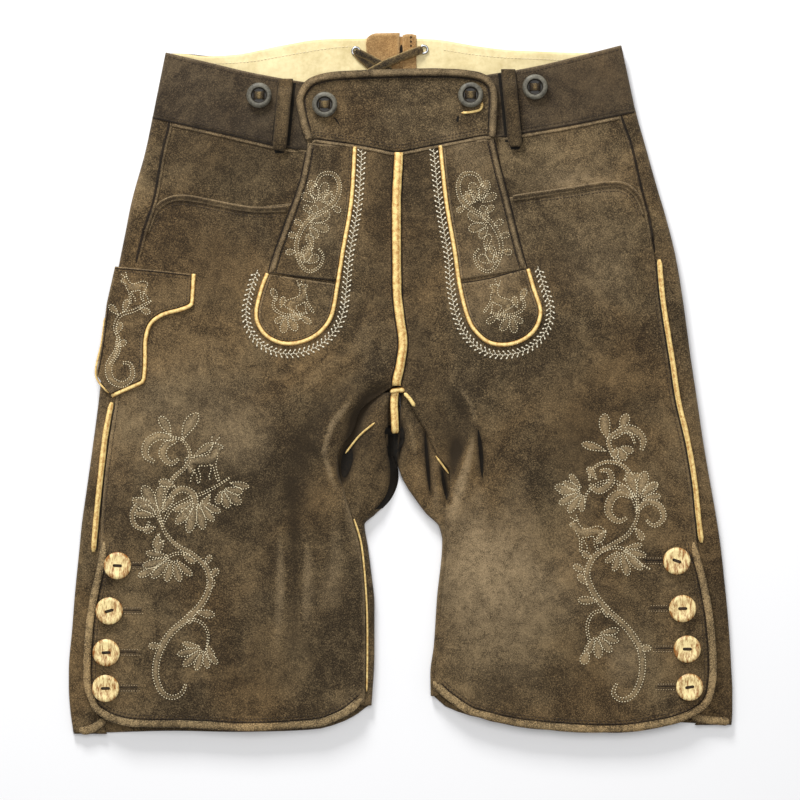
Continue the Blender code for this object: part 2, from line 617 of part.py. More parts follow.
def front_panel(side):
    """Leg and drop flap in one piece, with a slit between the flap and the pocket."""
    inward = 1 if side == "r" else -1
    rows = FRONT_ROWS[side]
    slit = SLIT_SHARE[side]
    outer_shares = [slit * k / SLIT_COLUMNS for k in range(SLIT_COLUMNS + 1)]
    inner_shares = [slit + (1 - slit) * k for k in INNER_COLUMNS]
    lower = []
    for j, row in enumerate(rows):
        outer_x = at_level(SIDES[side], "edge", row.outer)
        if row.inner > -2:
            inner_x = at_level(CENTRES, "x", row.inner) - inward * SEAM_GAP / 2
        else:
            inner_x = at_level(INNERS[side], "seam", row.inner)
        weight = max(0.0, (j - FRONT_HEM_ROW) / (len(rows) - 1 - FRONT_HEM_ROW))
        line = []
        for share in outer_shares + inner_shares[1:]:
            x = outer_x + (inner_x - outer_x) * share
            y = row.outer + (row.inner - row.outer) * share
            y += dip_at(FRONT_HEM[side], share) * weight
            line.append((x, y, top_height(side, x, y)))
        lower.append(line)
    first = lower[0]
    pocket = [first[:SLIT_COLUMNS + 1]]
    for level in POCKET_LEVELS:
        line = []
        for k in range(SLIT_COLUMNS + 1):
            edge = along(POCKET_EDGE[side], k / SLIT_COLUMNS)
            x = first[k][0] + (edge.x - first[k][0]) * level
            y = first[k][1] + (edge.y - first[k][1]) * level
            if k == SLIT_COLUMNS:
                near = along(FLAP_EDGE[side], 1 - 0.55 * level)
                x = near.x - inward * 0.7
                y = near.y
            line.append((x, y, top_height(side, x, y)))
        pocket.append(line)
    flap = [first[SLIT_COLUMNS:]]
    for level in FLAP_LEVELS:
        edge = along(FLAP_EDGE[side], 1 - level)
        top = BIB_BOTTOM[:6] if side == "r" else BIB_BOTTOM[:4:-1]
        line = []
        for share in INNER_COLUMNS:
            high = along(top, share)
            inner_y = first[-1][1] + (high.y - first[-1][1]) * level
            x = edge.x + (at_level(CENTRES, "x", inner_y) - edge.x) * share
            y = edge.y + (inner_y - edge.y) * share
            if level == 1.0:
                x = high.x
                y = high.y - SEAM_GAP
            if share == 1.0:
                x -= inward * SEAM_GAP / 2
            rise = FLAP_LIFT * min(1.0, level / FLAP_LEVELS[1])
            line.append((x, y, top_height(side, x, y) + rise))
        flap.append(line)
    grids = [lower, pocket[::-1], flap[::-1]]
    return sheet(f"front_panel_{side}", grids, LEATHER, "suede", side == "r")


def band_height(side, x, y):
    """Outer face of the front waistband: flat, then rounding down at the side fold."""
    radius = side_radius(y) + 0.25
    depth = abs(x - at_level(SIDES[side], "fold", y))
    if depth >= radius:
        return level_height(side, x, y) - LAP + 0.5
    return radius + math.sqrt(radius ** 2 - (radius - depth) ** 2)


def hip_piece(side):
    """Backing of the pocket, from the waistband to below the pocket opening."""
    inward = 1 if side == "r" else -1
    grid = []
    for j in range(6):
        line = []
        for k in range(8):
            high = along(HIP_TOP[side], k / 7)
            low = along(HIP_BOTTOM[side], k / 7)
            x = high.x + (low.x - high.x) * j / 5
            y = high.y + (low.y - high.y) * j / 5
            if k == 0:
                x = at_level(SIDES[side], "edge", y)
                x += inward * (SEAM_GAP + (UNDERLAP + 1.0) * fade(y - low.y, 22))
            line.append((x, y, level_height(side, x, y) - LAP))
        grid.append(line)
    return sheet(f"hip_piece_{side}", [grid], LEATHER, "suede", side == "r")


def waistband_front(side):
    """Front waistband from the side seam to under the bib."""
    grid = []
    for j in range(4):
        line = []
        for share in BAND_COLUMNS:
            high = along(BAND_TOP[side], share)
            low = along(BAND_BOTTOM[side], share)
            x = high.x + (low.x - high.x) * j / 3
            y = high.y + (low.y - high.y) * j / 3
            line.append((x, y, band_height(side, x, y)))
        grid.append(line)
    return sheet(f"waistband_front_{side}", [grid], BAND_WALL, "band_suede", side == "r")


def back_band_grid(side, band):
    """Rows of the back waistband, drawn in by an inset from its outer face."""
    inward = 1 if side == "r" else -1
    side_low = BACK_BAND_SIDE[side]
    grid = []
    for j in range(4):
        level = j / 3
        side_y = BACK_TOP[side][0].y + (side_low - BACK_TOP[side][0].y) * level
        radius = side_radius(side_y) - band.inset
        fold = at_level(SIDES[side], "fold", side_y) + inward * band.inset
        line = [(x, side_y, z + band.inset) for x, z in arc(side, fold, radius, band.stop, -90, 3)]
        for k in range(1, 7):
            high = along(BACK_TOP[side], k / 6)
            low = band.low + (side_low - band.low) * abs(high.x / BACK_TOP[side][0].x)
            line.append((high.x, high.y + (low - high.y) * level, band.inset))
        grid.append(line)
    return grid


def waistband_back(side):
    """Back waistband, flat on the surface and turned up at the side."""
    grid = back_band_grid(side, BACK_BAND)
    return sheet(f"waistband_back_{side}", [grid], BACK_BAND_WALL, "band_suede", side == "l")


def waistband_lining(side):
    """Lining of the back waistband, cut away at the laced notch."""
    grid = back_band_grid(side, BACK_LINING)
    for j, line in enumerate(grid):
        notch = along(NOTCH[side], j / 3)
        for k in range(4, len(line)):
            share = (k - 3) / 6
            x = line[3][0] + (notch.x - line[3][0]) * share
            line[k] = (x, line[k][1], line[k][2])
        grid[j] = [(x, y - LINING_DROP * (1 - j / 3), z) for x, y, z in line]
    return sheet(f"waistband_lining_{side}", [grid], LINING_WALL, "lining", side == "l")


def gusset(side):
    """Suede tab behind the lacing, standing a little above the waist."""
    height = BACK_BAND_WALL + REST_GAP + LEATHER
    grid = []
    for j in range(4):
        line = []
        for k in range(4):
            a = along(GUSSET_TOP[side], k / 3)
            b = along(GUSSET_FOOT[side], k / 3)
            line.append((a.x + (b.x - a.x) * j / 3, a.y + (b.y - a.y) * j / 3, height))
        grid.append(line)
    return sheet(f"gusset_{side}", [grid], LEATHER, "camel", True)


def eyelet(side):
    """Metal ring in the lining for the lace."""
    at = EYELETS[side]
    bpy.ops.mesh.primitive_torus_add(major_radius=3.2 * MM, minor_radius=0.9 * MM,
                                     major_segments=18, minor_segments=6)
    made = bpy.context.object
    mesh = made.data
    bpy.data.objects.remove(made)
    obj = add_object(f"eyelet_{side}", mesh, "metal")
    obj.location = Vector((at.x, at.y, BACK_BAND_WALL + SEAM_GAP + LINING_WALL + 1.35)) * MM
    return obj


def bib_band():
    """Band at the top of the drop flap."""
    grid = []
    for j in range(5):
        line = []
        for k, (high, low) in enumerate(zip(BIB_TOP, BIB_BOTTOM)):
            x = high.x + (low.x - high.x) * j / 4
            y = high.y + (low.y - high.y) * j / 4
            line.append((x, y, level_height("r" if x < 0 else "l", x, y) + 1.5))
        grid.append(line)
    return sheet("bib_band", [grid], BAND_WALL, "suede", True)


def inset_path(path, distance):
    """The same line shifted sideways: a positive distance shifts it to its left."""
    shifted = []
    for before, point, after in zip([path[0]] + path, path, path[1:] + [path[-1]]):
        run = Vector((after.x - before.x, after.y - before.y)).normalized()
        shifted.append(Point(point.x - run.y * distance, point.y + run.x * distance))
    return shifted


def belt_loop(side):
    """Strap that stands off the waistband, with its ends sewn down."""
    high, low = BELT_LOOPS[side]
    trees = surfaces(f"waistband_front_{side}", f"hip_piece_{side}")
    ground = max(top_of(trees, high.x + dx, y) for dx in (-6, 0, 6) for y in (206, 225, 245))
    grid = []
    half = BELT_LOOP_WIDTH / 2
    for bow in LOOP_BOW:
        x = high.x + (low.x - high.x) * bow.share
        y = high.y + (low.y - high.y) * bow.share
        grid.append([(x + dx, y, ground + bow.rise + LEATHER) for dx in (-half, 0, half)])
    return sheet(f"belt_loop_{side}", [grid], LEATHER, "band_suede", True)


def turned_mesh(name, profile, steps):
    """Mesh of a turned shape: the profile (r, z) runs from the axis on top down its outside."""
    shape = bmesh.new()
    points = [shape.verts.new(Vector((r, 0, z)) * MM) for r, z in profile]
    for a, b in zip(points, points[1:]):
        shape.edges.new((a, b))
    mesh = bpy.data.meshes.new(name)
    shape.to_mesh(mesh)
    shape.free()
    obj = bpy.data.objects.new(name, mesh)
    garment.objects.link(obj)
    screw = obj.modifiers.new("turn", "SCREW")
    screw.steps = steps
    screw.render_steps = steps
    screw.use_merge_vertices = True
    screw.merge_threshold = 0.00001
    return obj


def box_cutter(name, size, spots):
    """Boxes that cut slots."""
    shape = bmesh.new()
    for x, y in spots:
        made = bmesh.ops.create_cube(shape, size=1.0)
        bmesh.ops.scale(shape, vec=Vector(size) * MM, verts=made["verts"])
        bmesh.ops.translate(shape, vec=Vector((x, y, 0)) * MM, verts=made["verts"])
    mesh = bpy.data.meshes.new(name)
    shape.to_mesh(mesh)
    shape.free()
    obj = bpy.data.objects.new(name, mesh)
    cutters.objects.link(obj)
    obj.hide_render = True
    obj.display_type = "WIRE"
    return obj


def cut_turned(name, profile, steps, cutter):
    """Turned shape with slots, as one mesh shared by its copies."""
    obj = turned_mesh(name, profile, steps)
    cut = obj.modifiers.new("slots", "BOOLEAN")
    cut.operation = "DIFFERENCE"
    cut.object = cutter
    bpy.context.view_layer.update()
    graph = bpy.context.evaluated_depsgraph_get()
    mesh = bpy.data.meshes.new_from_object(obj.evaluated_get(graph))
    bpy.data.objects.remove(obj)
    mesh.shade_smooth()
    mesh.set_sharp_from_angle(angle=math.radians(40))
    return mesh


def suspender_buttons():
    """Dished buttons with two slots, each held by a leather thong through its slots."""
    r = SUSPENDER_BUTTON_RADIUS
    h = SUSPENDER_BUTTON_HEIGHT
    profile = ((0, h - 1.6), (5.6, h - 1.6), (7.4, h), (9.4, h - 0.3), (r, h - 1.8), (7.6, 0.3),
               (6.8, 0), (0, 0))
    cutter = box_cutter("suspender_slots", (2.2, 5.2, 30), ((-SLOT_SPREAD, 0), (SLOT_SPREAD, 0)))
    mesh = cut_turned("suspender_button", profile, 18, cutter)
    for place, at in SUSPENDER_BUTTONS.items():
        below = ["bib_band"] if place.startswith("bib") else [f"waistband_front_{place[-1]}"]
        trees = surfaces(*below)
        spots = [(at.x + dx, at.y + dy) for dx in (-9, 0, 9) for dy in (-9, 0, 9)]
        ground = max(top_of(trees, x, y) for x, y in spots) + BUTTON_STAND
        button = add_object(f"suspender_button_{place}", mesh, "button_grey")
        button.location = Vector((at.x, at.y, ground)) * MM
        thong(place, at, ground - BUTTON_STAND + REST_GAP, ground + h - 1.6 + REST_GAP)


def thong(place, at, low, high):
    """Leather thong bridging the two slots, its legs down to the cloth."""
    shape = bmesh.new()
    wide = 1.9
    thick = 1.4
    x = SLOT_SPREAD + thick / 2
    outline = ((-x, low), (-x + thick, low), (-x + thick, high), (x - thick, high),
               (x - thick, low), (x, low), (x, high + thick * 0.6), (x - thick * 0.7, high + thick),
               (-x + thick * 0.7, high + thick), (-x, high + thick * 0.6))
    sides = [[shape.verts.new(Vector((at.x + px, at.y + dy, pz)) * MM) for px, pz in outline]
             for dy in (-wide, wide)]
    front, back = sides
    for k in range(len(outline)):
        n = (k + 1) % len(outline)
        shape.faces.new((front[k], front[n], back[n], back[k]))
    shape.faces.new(front[::-1])
    shape.faces.new(back)
    bmesh.ops.recalc_face_normals(shape, faces=shape.faces)
    mesh = bpy.data.meshes.new(f"thong_{place}")
    shape.to_mesh(mesh)
    shape.free()
    return add_object(f"thong_{place}", mesh, "thong")


def horn_buttons():
    """Flat horn buttons with one long slot, on the leg vents."""
    r = HORN_BUTTON_RADIUS
    h = HORN_BUTTON_HEIGHT
    profile = ((0, h - 0.7), (6.2, h - 0.7), (8.4, h), (r, h - 1.1), (r - 1.2, 0), (0, 0))
    cutter = box_cutter("horn_slot", HORN_SLOT, ((0, 0),))
    mesh = cut_turned("horn_button", profile, 18, cutter)
    for side, spots in HORN_BUTTONS.items():
        trees = surfaces(f"front_panel_{side}", f"hem_roll_front_{side}")
        for number, at in enumerate(spots, 1):
            ring = [(at.x + dx, at.y + dy) for dx in (-10, -5, 0, 5, 10)
                    for dy in (-10, -5, 0, 5, 10)]
            ground = max(top_of(trees, x, y) for x, y in ring) + REST_GAP
            button = add_object(f"horn_button_{side}{number}", mesh, "horn")
            button.location = Vector((at.x, at.y, ground)) * MM


def front_edge(side):
    """Line of the vent's edge and the hem of the front panel."""
    rows = FRONT_ROWS[side]
    last = rows[-1]
    outer_x = at_level(SIDES[side], "edge", last.outer)
    inner_x = at_level(INNERS[side], "seam", last.inner)
    vent = [Point(at_level(SIDES[side], "edge", row.outer), row.outer)
            for row in rows if row.outer < VENT_TOP]
    hem = []
    for k in range(1, 25):
        share = k / 24
        hem.append(Point(outer_x + (inner_x - outer_x) * share,
                         last.outer + (last.inner - last.outer) * share
                         + dip_at(FRONT_HEM[side], share)))
    return vent + hem


def hem_rolls(side):
    """Bound edges: round the vent and hem of the front, and along the hem of the back."""
    turn = 1 if side == "r" else -1
    path = inset_path(front_edge(side), turn * (HEM_ROLL.width / 2 + 0.5))
    rib(f"hem_roll_front_{side}", smooth_line(path, 14), HEM_ROLL, surfaces(f"front_panel_{side}"),
        "suede")
    last = BACK_ROWS[side][-1]
    start = at_level(SIDES[side], "fold", last.outer) + turn * side_radius(last.outer)
    inner_x = back_inner_x(side, len(BACK_ROWS[side]) - 1)
    hem = []
    for share in (0.04, *BACK_COLUMNS[1:], 0.86):
        hem.append(Point(inner_x + (start - inner_x) * share,
                         last.inner + (last.outer - last.inner) * share
                         + dip_at(BACK_HEM[side], 1 - share) + HEM_ROLL.width / 2 + 0.8))
    rib(f"hem_roll_back_{side}", hem, HEM_ROLL, [], "suede", base=LEATHER)


def strap(side):
    """Embroidered strap on the flap, the tongue below it and the piping round both."""
    trees = surfaces(f"front_panel_{side}")
    flap = [Point(p.x, p.y) for p in FLAP_EDGE[side]]
    flap[0] = along(flap, 0.02)
    flap[-1] = Point(flap[-1].x, flap[-1].y + 1.0)
    inner = list(STRAP_INNER[side])
    edges = (flap, inner) if side == "r" else (inner, flap)
    patch(f"strap_{side}", *edges, 14, 5, 1.4, "suede", trees)
    tongue = TONGUE[side]
    turn = 1 if side == "r" else -1
    low = tongue[6]
    outer = [*tongue[:6], Point(low.x - turn * TONGUE_SPLIT, low.y + 0.2)]
    near = [*tongue[:6:-1], Point(low.x + turn * TONGUE_SPLIT, low.y + 0.2)]
    edges = (outer, near) if side == "r" else (near, outer)
    patch(f"strap_tongue_{side}", *edges, 10, 6, 1.4, "suede", trees)
    run = [*STRAP_INNER[side][:3], *tongue[::-1]]
    path = inset_path(smooth_line(run, 8), turn * (STRAP_RIB.width / 2 + 0.4))
    rib(f"strap_piping_{side}", path, STRAP_RIB, trees, "piping")


def knife_pocket():
    """Small pocket for a knife, over the side seam of the right leg."""
    trees = surfaces("front_panel_r", "back_panel_r")
    left = [KNIFE_POCKET[0], *KNIFE_POCKET[:10:-1]]
    right = list(KNIFE_POCKET[2:11])
    patch("knife_pocket", left, right, 14, 6, LEATHER, "suede", trees, reach=12.0)
    edge = [along(right, j / 14) for j in range(15)]
    path = inset_path(edge, STRAP_RIB.width / 2 + 0.9)
    rib("knife_pocket_piping", path, STRAP_RIB, trees, "piping", lift=0.8)


def clear_scene():
    for obj in list(bpy.data.objects):
        bpy.data.objects.remove(obj)


clear_scene()
garment = bpy.data.collections.new("lederhosen")
cutters = bpy.data.collections.new("cutters")
for collection in (garment, cutters):
    bpy.context.scene.collection.children.link(collection)
stand = bpy.data.objects.new("stand", None)
stand.location = Vector(STAND) * MM
garment.objects.link(stand)

bib_band()
for side_name in ("r", "l"):
    back_panel(side_name)
    front_panel(side_name)
    hip_piece(side_name)
    waistband_front(side_name)
    waistband_back(side_name)
    waistband_lining(side_name)
    gusset(side_name)
    eyelet(side_name)
    belt_loop(side_name)
    strap(side_name)
    hem_rolls(side_name)
    turn_in = -1 if side_name == "r" else 1
    pocket_line = inset_path(smooth_line(POCKET_EDGE[side_name], 9), turn_in * 3.2)
    rib(f"pocket_roll_{side_name}", pocket_line[:-1], POCKET_ROLL,
        surfaces(f"front_panel_{side_name}"), "suede")
    both = surfaces(f"front_panel_{side_name}", f"back_panel_{side_name}")
    rib(f"side_piping_{side_name}", smooth_line(SIDE_PIPING[side_name], 10), SIDE_RIB, both,
        "piping")
    rib(f"lace_{side_name}", smooth_line(LACES[side_name], 6), LACE_RIB, [], "thong",
        base=LACE_HEIGHT[side_name])
    rib(f"crotch_piping_{side_name}", smooth_line(CROTCH_PIPING[side_name], 5), THIN_RIB,
        surfaces(f"back_panel_{side_name}"), "piping")
rib("bib_roll", inset_path(smooth_line(BIB_TOP, 8), -3.6), BIB_ROLL, surfaces("bib_band"), "suede")
fronts = surfaces("front_panel_r", "front_panel_l", "back_panel_r", "back_panel_l")
centre_line = [Point(at_level(CENTRES, "x", y), y) for y in range(193, -1, -8)]
rib("front_piping", centre_line, CENTRE_RIB, fronts, "piping", lift=1.1)
rib("crotch_tab", smooth_line(CROTCH_TAB, 5), CROTCH_RIB, [], "piping", base=CROTCH_TAB_HEIGHT)
rib("inseam_piping_r", smooth_line(INSEAM_PIPING, 9), THIN_RIB, surfaces("back_panel_r"), "piping")
knife_pocket()
suspender_buttons()
horn_buttons()
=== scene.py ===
# %% [markdown]
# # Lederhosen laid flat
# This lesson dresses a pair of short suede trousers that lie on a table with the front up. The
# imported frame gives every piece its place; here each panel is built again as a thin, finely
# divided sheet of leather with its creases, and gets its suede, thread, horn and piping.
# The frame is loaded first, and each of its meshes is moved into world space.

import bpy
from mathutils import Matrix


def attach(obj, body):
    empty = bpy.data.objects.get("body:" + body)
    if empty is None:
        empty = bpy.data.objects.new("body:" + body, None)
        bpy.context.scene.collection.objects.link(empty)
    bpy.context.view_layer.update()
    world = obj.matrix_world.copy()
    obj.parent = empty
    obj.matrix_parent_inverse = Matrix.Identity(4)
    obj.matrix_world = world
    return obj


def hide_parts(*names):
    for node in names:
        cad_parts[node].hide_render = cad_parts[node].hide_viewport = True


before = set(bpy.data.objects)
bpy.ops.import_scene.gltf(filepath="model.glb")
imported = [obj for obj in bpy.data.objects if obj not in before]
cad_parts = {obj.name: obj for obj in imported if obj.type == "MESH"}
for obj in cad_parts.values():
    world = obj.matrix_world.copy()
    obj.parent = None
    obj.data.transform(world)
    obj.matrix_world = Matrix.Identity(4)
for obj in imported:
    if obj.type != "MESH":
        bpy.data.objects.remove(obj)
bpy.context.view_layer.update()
print("frame nodes:", len(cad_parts))

# %% Modules and units
import math
import random
from collections import namedtuple
from functools import partial

import bmesh
import bpy
from mathutils import Vector, noise
from mathutils.bvhtree import BVHTree

MM = 0.001
SHIFT = Vector((-0.50, -0.84, 0.0))   # table of the pattern to the frame, in mm
LEATHER = 2.0
BAND_WALL = 3.0
BACK_BAND_WALL = 2.4
LINING_WALL = 1.0
LAP = 2.5                             # drop from a panel to the panel that runs under it
SEAM_GAP = 0.3
REST_GAP = 0.35
BOTH = ("r", "l")                     # the wearer's right and left
INWARD = {"r": 1, "l": -1}            # way along x from each side towards the middle
print("leather", LEATHER, "mm")

# %% [markdown]
# ## The pattern in numbers
# A pattern cutter marks a leg by its width at a few levels. The tables below do the same, in
# millimetres: x to the wearer's left, y to the waist. Between the levels the lines are drawn as
# smooth curves, which is why so few numbers are enough for a leg half a metre long.

# %% Reading a table
Point = namedtuple("Point", "x y")


def table(kind, *numbers):
    """Rows of one kind from a plain run of numbers."""
    size = len(kind._fields)
    return tuple(kind(*numbers[n:n + size]) for n in range(0, len(numbers), size))


path_of = partial(table, Point)
print("two points:", path_of(3, 4, 5, 6))

# %% Side fold and side seam, level by level
Side = namedtuple("Side", "y fold edge")
SIDES = {
    "r": table(Side,
        279, -198, -194, 226, -208, -193, 197, -214, -199, 153, -226, -207, 128, -231, -215,
        103, -236, -221, 60, -244, -228, 20, -250, -234, -9, -253, -238, -55, -259, -245,
        -90, -264, -249, -118, -268, -251, -138, -270, -252, -178, -274, -260, -204, -276, -264,
        -242, -279, -266, -256, -279, -265, -272, -278, -259, -294, -275, -250),
    "l": table(Side,
        285, 187, 184, 231, 198, 185, 202, 206, 194, 163, 217, 203, 143, 223, 208, 107, 232, 214,
        71, 238, 217, 20, 245, 225, -13, 250, 230, -47, 255, 238, -82, 261, 244, -110, 266, 247,
        -136, 270, 250, -163, 273, 257, -205, 277, 264, -238, 279, 266, -259, 280, 264,
        -274, 280, 257, -290, 279, 250),
}
print("levels of the side folds:", len(SIDES["r"]), len(SIDES["l"]))

# %% Inner leg: lower layer, turned edge and inseam
Inner = namedtuple("Inner", "y under turn seam")
INNERS = {
    "r": table(Inner,
        -2, -0.2, -3, -6, -10, -0.2, -7, -19, -23, -0.2, -10, -34, -38, -0.2, -10, -39,
        -60, -0.2, -10, -52, -74, -1, -10, -51, -88, -4, -13, -47, -100, -10, -18, -44,
        -110, -20, -26, -41, -118, -29, -31, -39, -136, -27, -27, -34, -160, -24, -24, -31,
        -184, -21.5, -21.5, -29.5, -226, -21.5, -21.5, -29, -272, -24, -24, -30),
    "l": table(Inner,
        -2, 0.2, 1, 2, -10, 0.2, 1, 5, -23, 0.2, 0, 12, -38, 0.2, -2, 21, -60, 0.2, -4, 32,
        -74, 1.5, -1, 42, -86, 7, 5, 42, -98, 14, 14, 39, -108, 21, 22, 38, -120, 33, 33, 38,
        -132, 35.5, 35.5, 39.5, -181, 31, 31, 35, -219, 28.5, 28.5, 32.5, -244, 25.5, 25.5, 29.5,
        -270, 26, 26, 30),
}
print("levels of the inner legs:", len(INNERS["r"]), len(INNERS["l"]))

# %% Centre seam and the height of the top layer
Centre = namedtuple("Centre", "y x")
CENTRES = table(Centre, 264, 0, 195, -1, 150, -3, 80, -2.5, 55, 0, 35, 2.5, 15, 0, 0, -3, -12, -3)
Height = namedtuple("Height", "y side mid inner")
HEIGHTS = table(Height,
    290, 13, 16, 16, 226, 14, 17.5, 17, 150, 14, 18.5, 18, 85, 14, 18.5, 18, 0, 13, 17, 16,
    -60, 12, 15, 13.5, -120, 9.5, 13, 11.5, -150, 8, 12.5, 11, -290, 7.5, 11, 9.5)
SHOULDER = 45                         # width over which a panel rises from its edge
BAND_SLOPE = 0.25
print("height at the thickest level:", max(level.mid for level in HEIGHTS), "mm")

# %% Rows of the panels and the dip of the hems
Row = namedtuple("Row", "outer inner")
BACK_ROWS = {
    "r": table(Row,
        225.5, 231, 195, 198, 160, 162, 128, 126, 103, 98, 75, 68, 45, 36, 15, 6, -2, -7, -20, -26,
        -36, -43, -52, -59, -68, -74, -82, -88, -96, -100, -108, -110, -119, -118, -138, -136,
        -163, -160, -190, -186, -216, -212, -242, -236, -268, -255, -294, -270),
    "l": table(Row,
        230.5, 231, 198, 198, 163, 162, 128, 126, 103, 98, 75, 68, 45, 36, 15, 6, -2, -7, -20, -26,
        -36, -43, -52, -59, -68, -74, -82, -87, -96, -98, -108, -108, -119, -120, -138, -134,
        -163, -158, -190, -184, -216, -210, -242, -232, -264, -248, -286.5, -262),
}
FRONT_ROWS = {
    "r": table(Row,
        92, 78, 62, 48, 32, 20, 8, -2, -9, -14, -24, -26, -40, -40, -58, -55, -76, -72, -96, -92,
        -118, -112, -138, -134, -160, -156, -184, -180, -210, -206, -236, -230, -256, -250,
        -274, -266),
    "l": table(Row,
        94, 80, 64, 50, 34, 22, 8, -2, -9, -14, -24, -26, -40, -40, -58, -55, -76, -72, -96, -92,
        -114, -112, -136, -132, -158, -152, -182, -174, -208, -198, -234, -222, -254, -241,
        -272, -256),
}
THIGH_ROW, CROTCH_ROW = 8, 12
FRONT_HEM_ROW, BACK_HEM_ROW = 14, 19
Dip = namedtuple("Dip", "across drop")
FRONT_HEM = {
    "r": table(Dip, 0, 0, 0.06, -9, 0.15, -14.5, 0.35, -17, 0.6, -21.5, 0.82, -20, 0.93, -12, 1, 0),
    "l": table(Dip,
        0, 0, 0.06, -9, 0.15, -17, 0.35, -26, 0.5, -27.5, 0.64, -27, 0.86, -20, 0.95, -9, 1, 0),
}
BACK_HEM = {
    "r": table(Dip, 0, 0, 0.3, -5, 0.6, -13, 0.82, -16, 0.92, -11, 1, 0),
    "l": table(Dip, 0, 0, 0.24, -3, 0.44, -12, 0.66, -17.5, 0.84, -15, 0.95, -9, 1, 0),
}
print("rows of a back and a front panel:", len(BACK_ROWS["r"]), len(FRONT_ROWS["r"]))

# %% Pocket opening, drop flap and waistband lines
POCKET_EDGE = {
    "r": path_of(-215, 129, -206, 149, -192, 158, -176, 158.5, -152, 154, -122, 149, -92, 150),
    "l": path_of(208, 143, 201, 159, 189, 169, 172, 170, 146, 166, 118, 162, 91, 158),
}
FLAP_EDGE = {
    "r": path_of(-77, 202, -83, 171, -93, 142, -104, 112, -110, 92),
    "l": path_of(78, 206, 84, 180, 91, 153, 100, 117, 106, 96),
}
SLIT_SHARE = {"r": 0.51, "l": 0.50}
BAND_TOP = {
    "r": path_of(-197, 279, -160, 270, -127, 262, -83, 254, -45, 250),
    "l": path_of(186, 285, 132, 271, 105, 265, 81, 261, 45, 255),
}
BAND_BOTTOM = {
    "r": path_of(-208, 224.6, -155, 212.5, -127, 206, -100, 200, -60, 194),
    "l": path_of(198, 229.6, 148, 219, 120, 214, 96, 210, 60, 204),
}
BACK_TOP = {
    "r": path_of(
        -192, 279, -176, 278.4, -157, 276.6, -127, 278.2, -107, 281.4, -76, 286.9, -46, 290.8,
        -0.15, 291.6),
    "l": path_of(
        181, 284.5, 170, 280.6, 155, 279.3, 125, 280.1, 85, 281.8, 55, 285.2, 24, 290.2,
        0.15, 291.6),
}
HIP_TOP = {
    "r": path_of(-192.7, 221.9, -155, 212, -127, 205.6, -100, 199.6, -62, 193.8),
    "l": path_of(184.7, 227.6, 148, 218.6, 120, 213.6, 96, 209.6, 62, 203.8),
}
HIP_BOTTOM = {
    "r": path_of(-209, 118, -190, 142, -160, 141, -120, 136, -78, 136),
    "l": path_of(202, 130, 188, 152, 160, 152, 118, 148, 74, 144),
}
print("flat waist:", round(math.dist(BAND_TOP["r"][0], BAND_TOP["l"][0])), "mm")

# %% Bib, straps, tongues and the knife pocket
BIB_TOP = path_of(
    -85, 226, -86.5, 240, -80, 252.5, -70, 258.5, -55, 261.5, -28, 263, 3, 264, 30, 264.2,
    50, 263.5, 68, 260.5, 78, 253.5, 81.5, 242, 81, 226)
BIB_BOTTOM = path_of(
    -77, 201, -72, 206, -58, 204.5, -40, 202, -20, 198.5, -5, 195.5, 8, 197, 20, 199.5, 36, 202.5,
    54, 206, 70, 209, 78, 208, 80, 204)
STRAP_INNER = {
    "r": path_of(-40, 199, -43, 153, -50, 112, -54, 88),
    "l": path_of(36, 200, 41, 153, 48, 112, 51, 88),
}
TONGUE = {
    "r": path_of(
        -109, 92, -114, 79, -118, 62, -117, 52, -111, 43, -101, 37.5, -90, 36.5, -77, 40, -66, 48,
        -59, 60, -54.5, 84),
    "l": path_of(
        105, 96, 110, 79, 115, 64, 114.5, 55, 110, 46, 101, 39, 88, 35.5, 75, 37.5, 65, 46,
        58.5, 58, 52, 84),
}
KNIFE_POCKET = path_of(
    -239, 99, -206, 96, -175, 92.5, -176.5, 68, -184, 65, -200, 60.5, -211, 52, -215.5, 38,
    -216, 18, -217, 4, -231, -2, -243, -7.5, -255, 8, -250, 36, -246, 68)
print("points round the knife pocket:", len(KNIFE_POCKET))

# %% Horn buttons of the vents and the turn of their slots in degrees
HornButton = namedtuple("HornButton", "x y turn")
HORN_BUTTONS = {
    "r": table(HornButton, -237, -152, -4, -244, -190, 16, -246.5, -225, 2, -247, -255, 0),
    "l": table(HornButton, 232, -148, -20, 237, -188, 0, 241, -222, -2, 243, -254, 8),
}
print("horn buttons:", sum(len(rows) for rows in HORN_BUTTONS.values()))

# %% Smooth lines through the tables
def slope_at(left, right):
    """Slope of a curve between two straight pieces, which never overshoots them."""
    return 2 * left * right / (left + right) if left * right > 0 else 0.0


def blend_rows(stations, values, at):
    """Value at a station on the smooth curve through values listed at rising stations."""
    if at <= stations[0]:
        return values[0]
    if at >= stations[-1]:
        return values[-1]
    k = next(i for i in range(len(stations) - 1) if at <= stations[i + 1])
    steps = [b - a for a, b in zip(stations, stations[1:])]
    grades = [(b - a) / s for a, b, s in zip(values, values[1:], steps)]
    before = slope_at(grades[k - 1], grades[k]) if k else grades[0]
    after = slope_at(grades[k], grades[k + 1]) if k + 1 < len(grades) else grades[-1]
    t = (at - stations[k]) / steps[k]
    rise, fall = t ** 3 - 2 * t ** 2 + t, t ** 3 - t ** 2
    return ((2 * t ** 3 - 3 * t ** 2 + 1) * values[k] + rise * steps[k] * before
            + (3 * t ** 2 - 2 * t ** 3) * values[k + 1] + fall * steps[k] * after)


def at_level(rows, column, y):
    """One column of a table at level y, where the table runs from the waist down."""
    return blend_rows([-row.y for row in rows], [getattr(row, column) for row in rows], -y)


def seam_x(side, y):
    return at_level(SIDES[side], "edge", y)


def fold_x(side, y):
    return at_level(SIDES[side], "fold", y)


def centre_x(y):
    return at_level(CENTRES, "x", y)


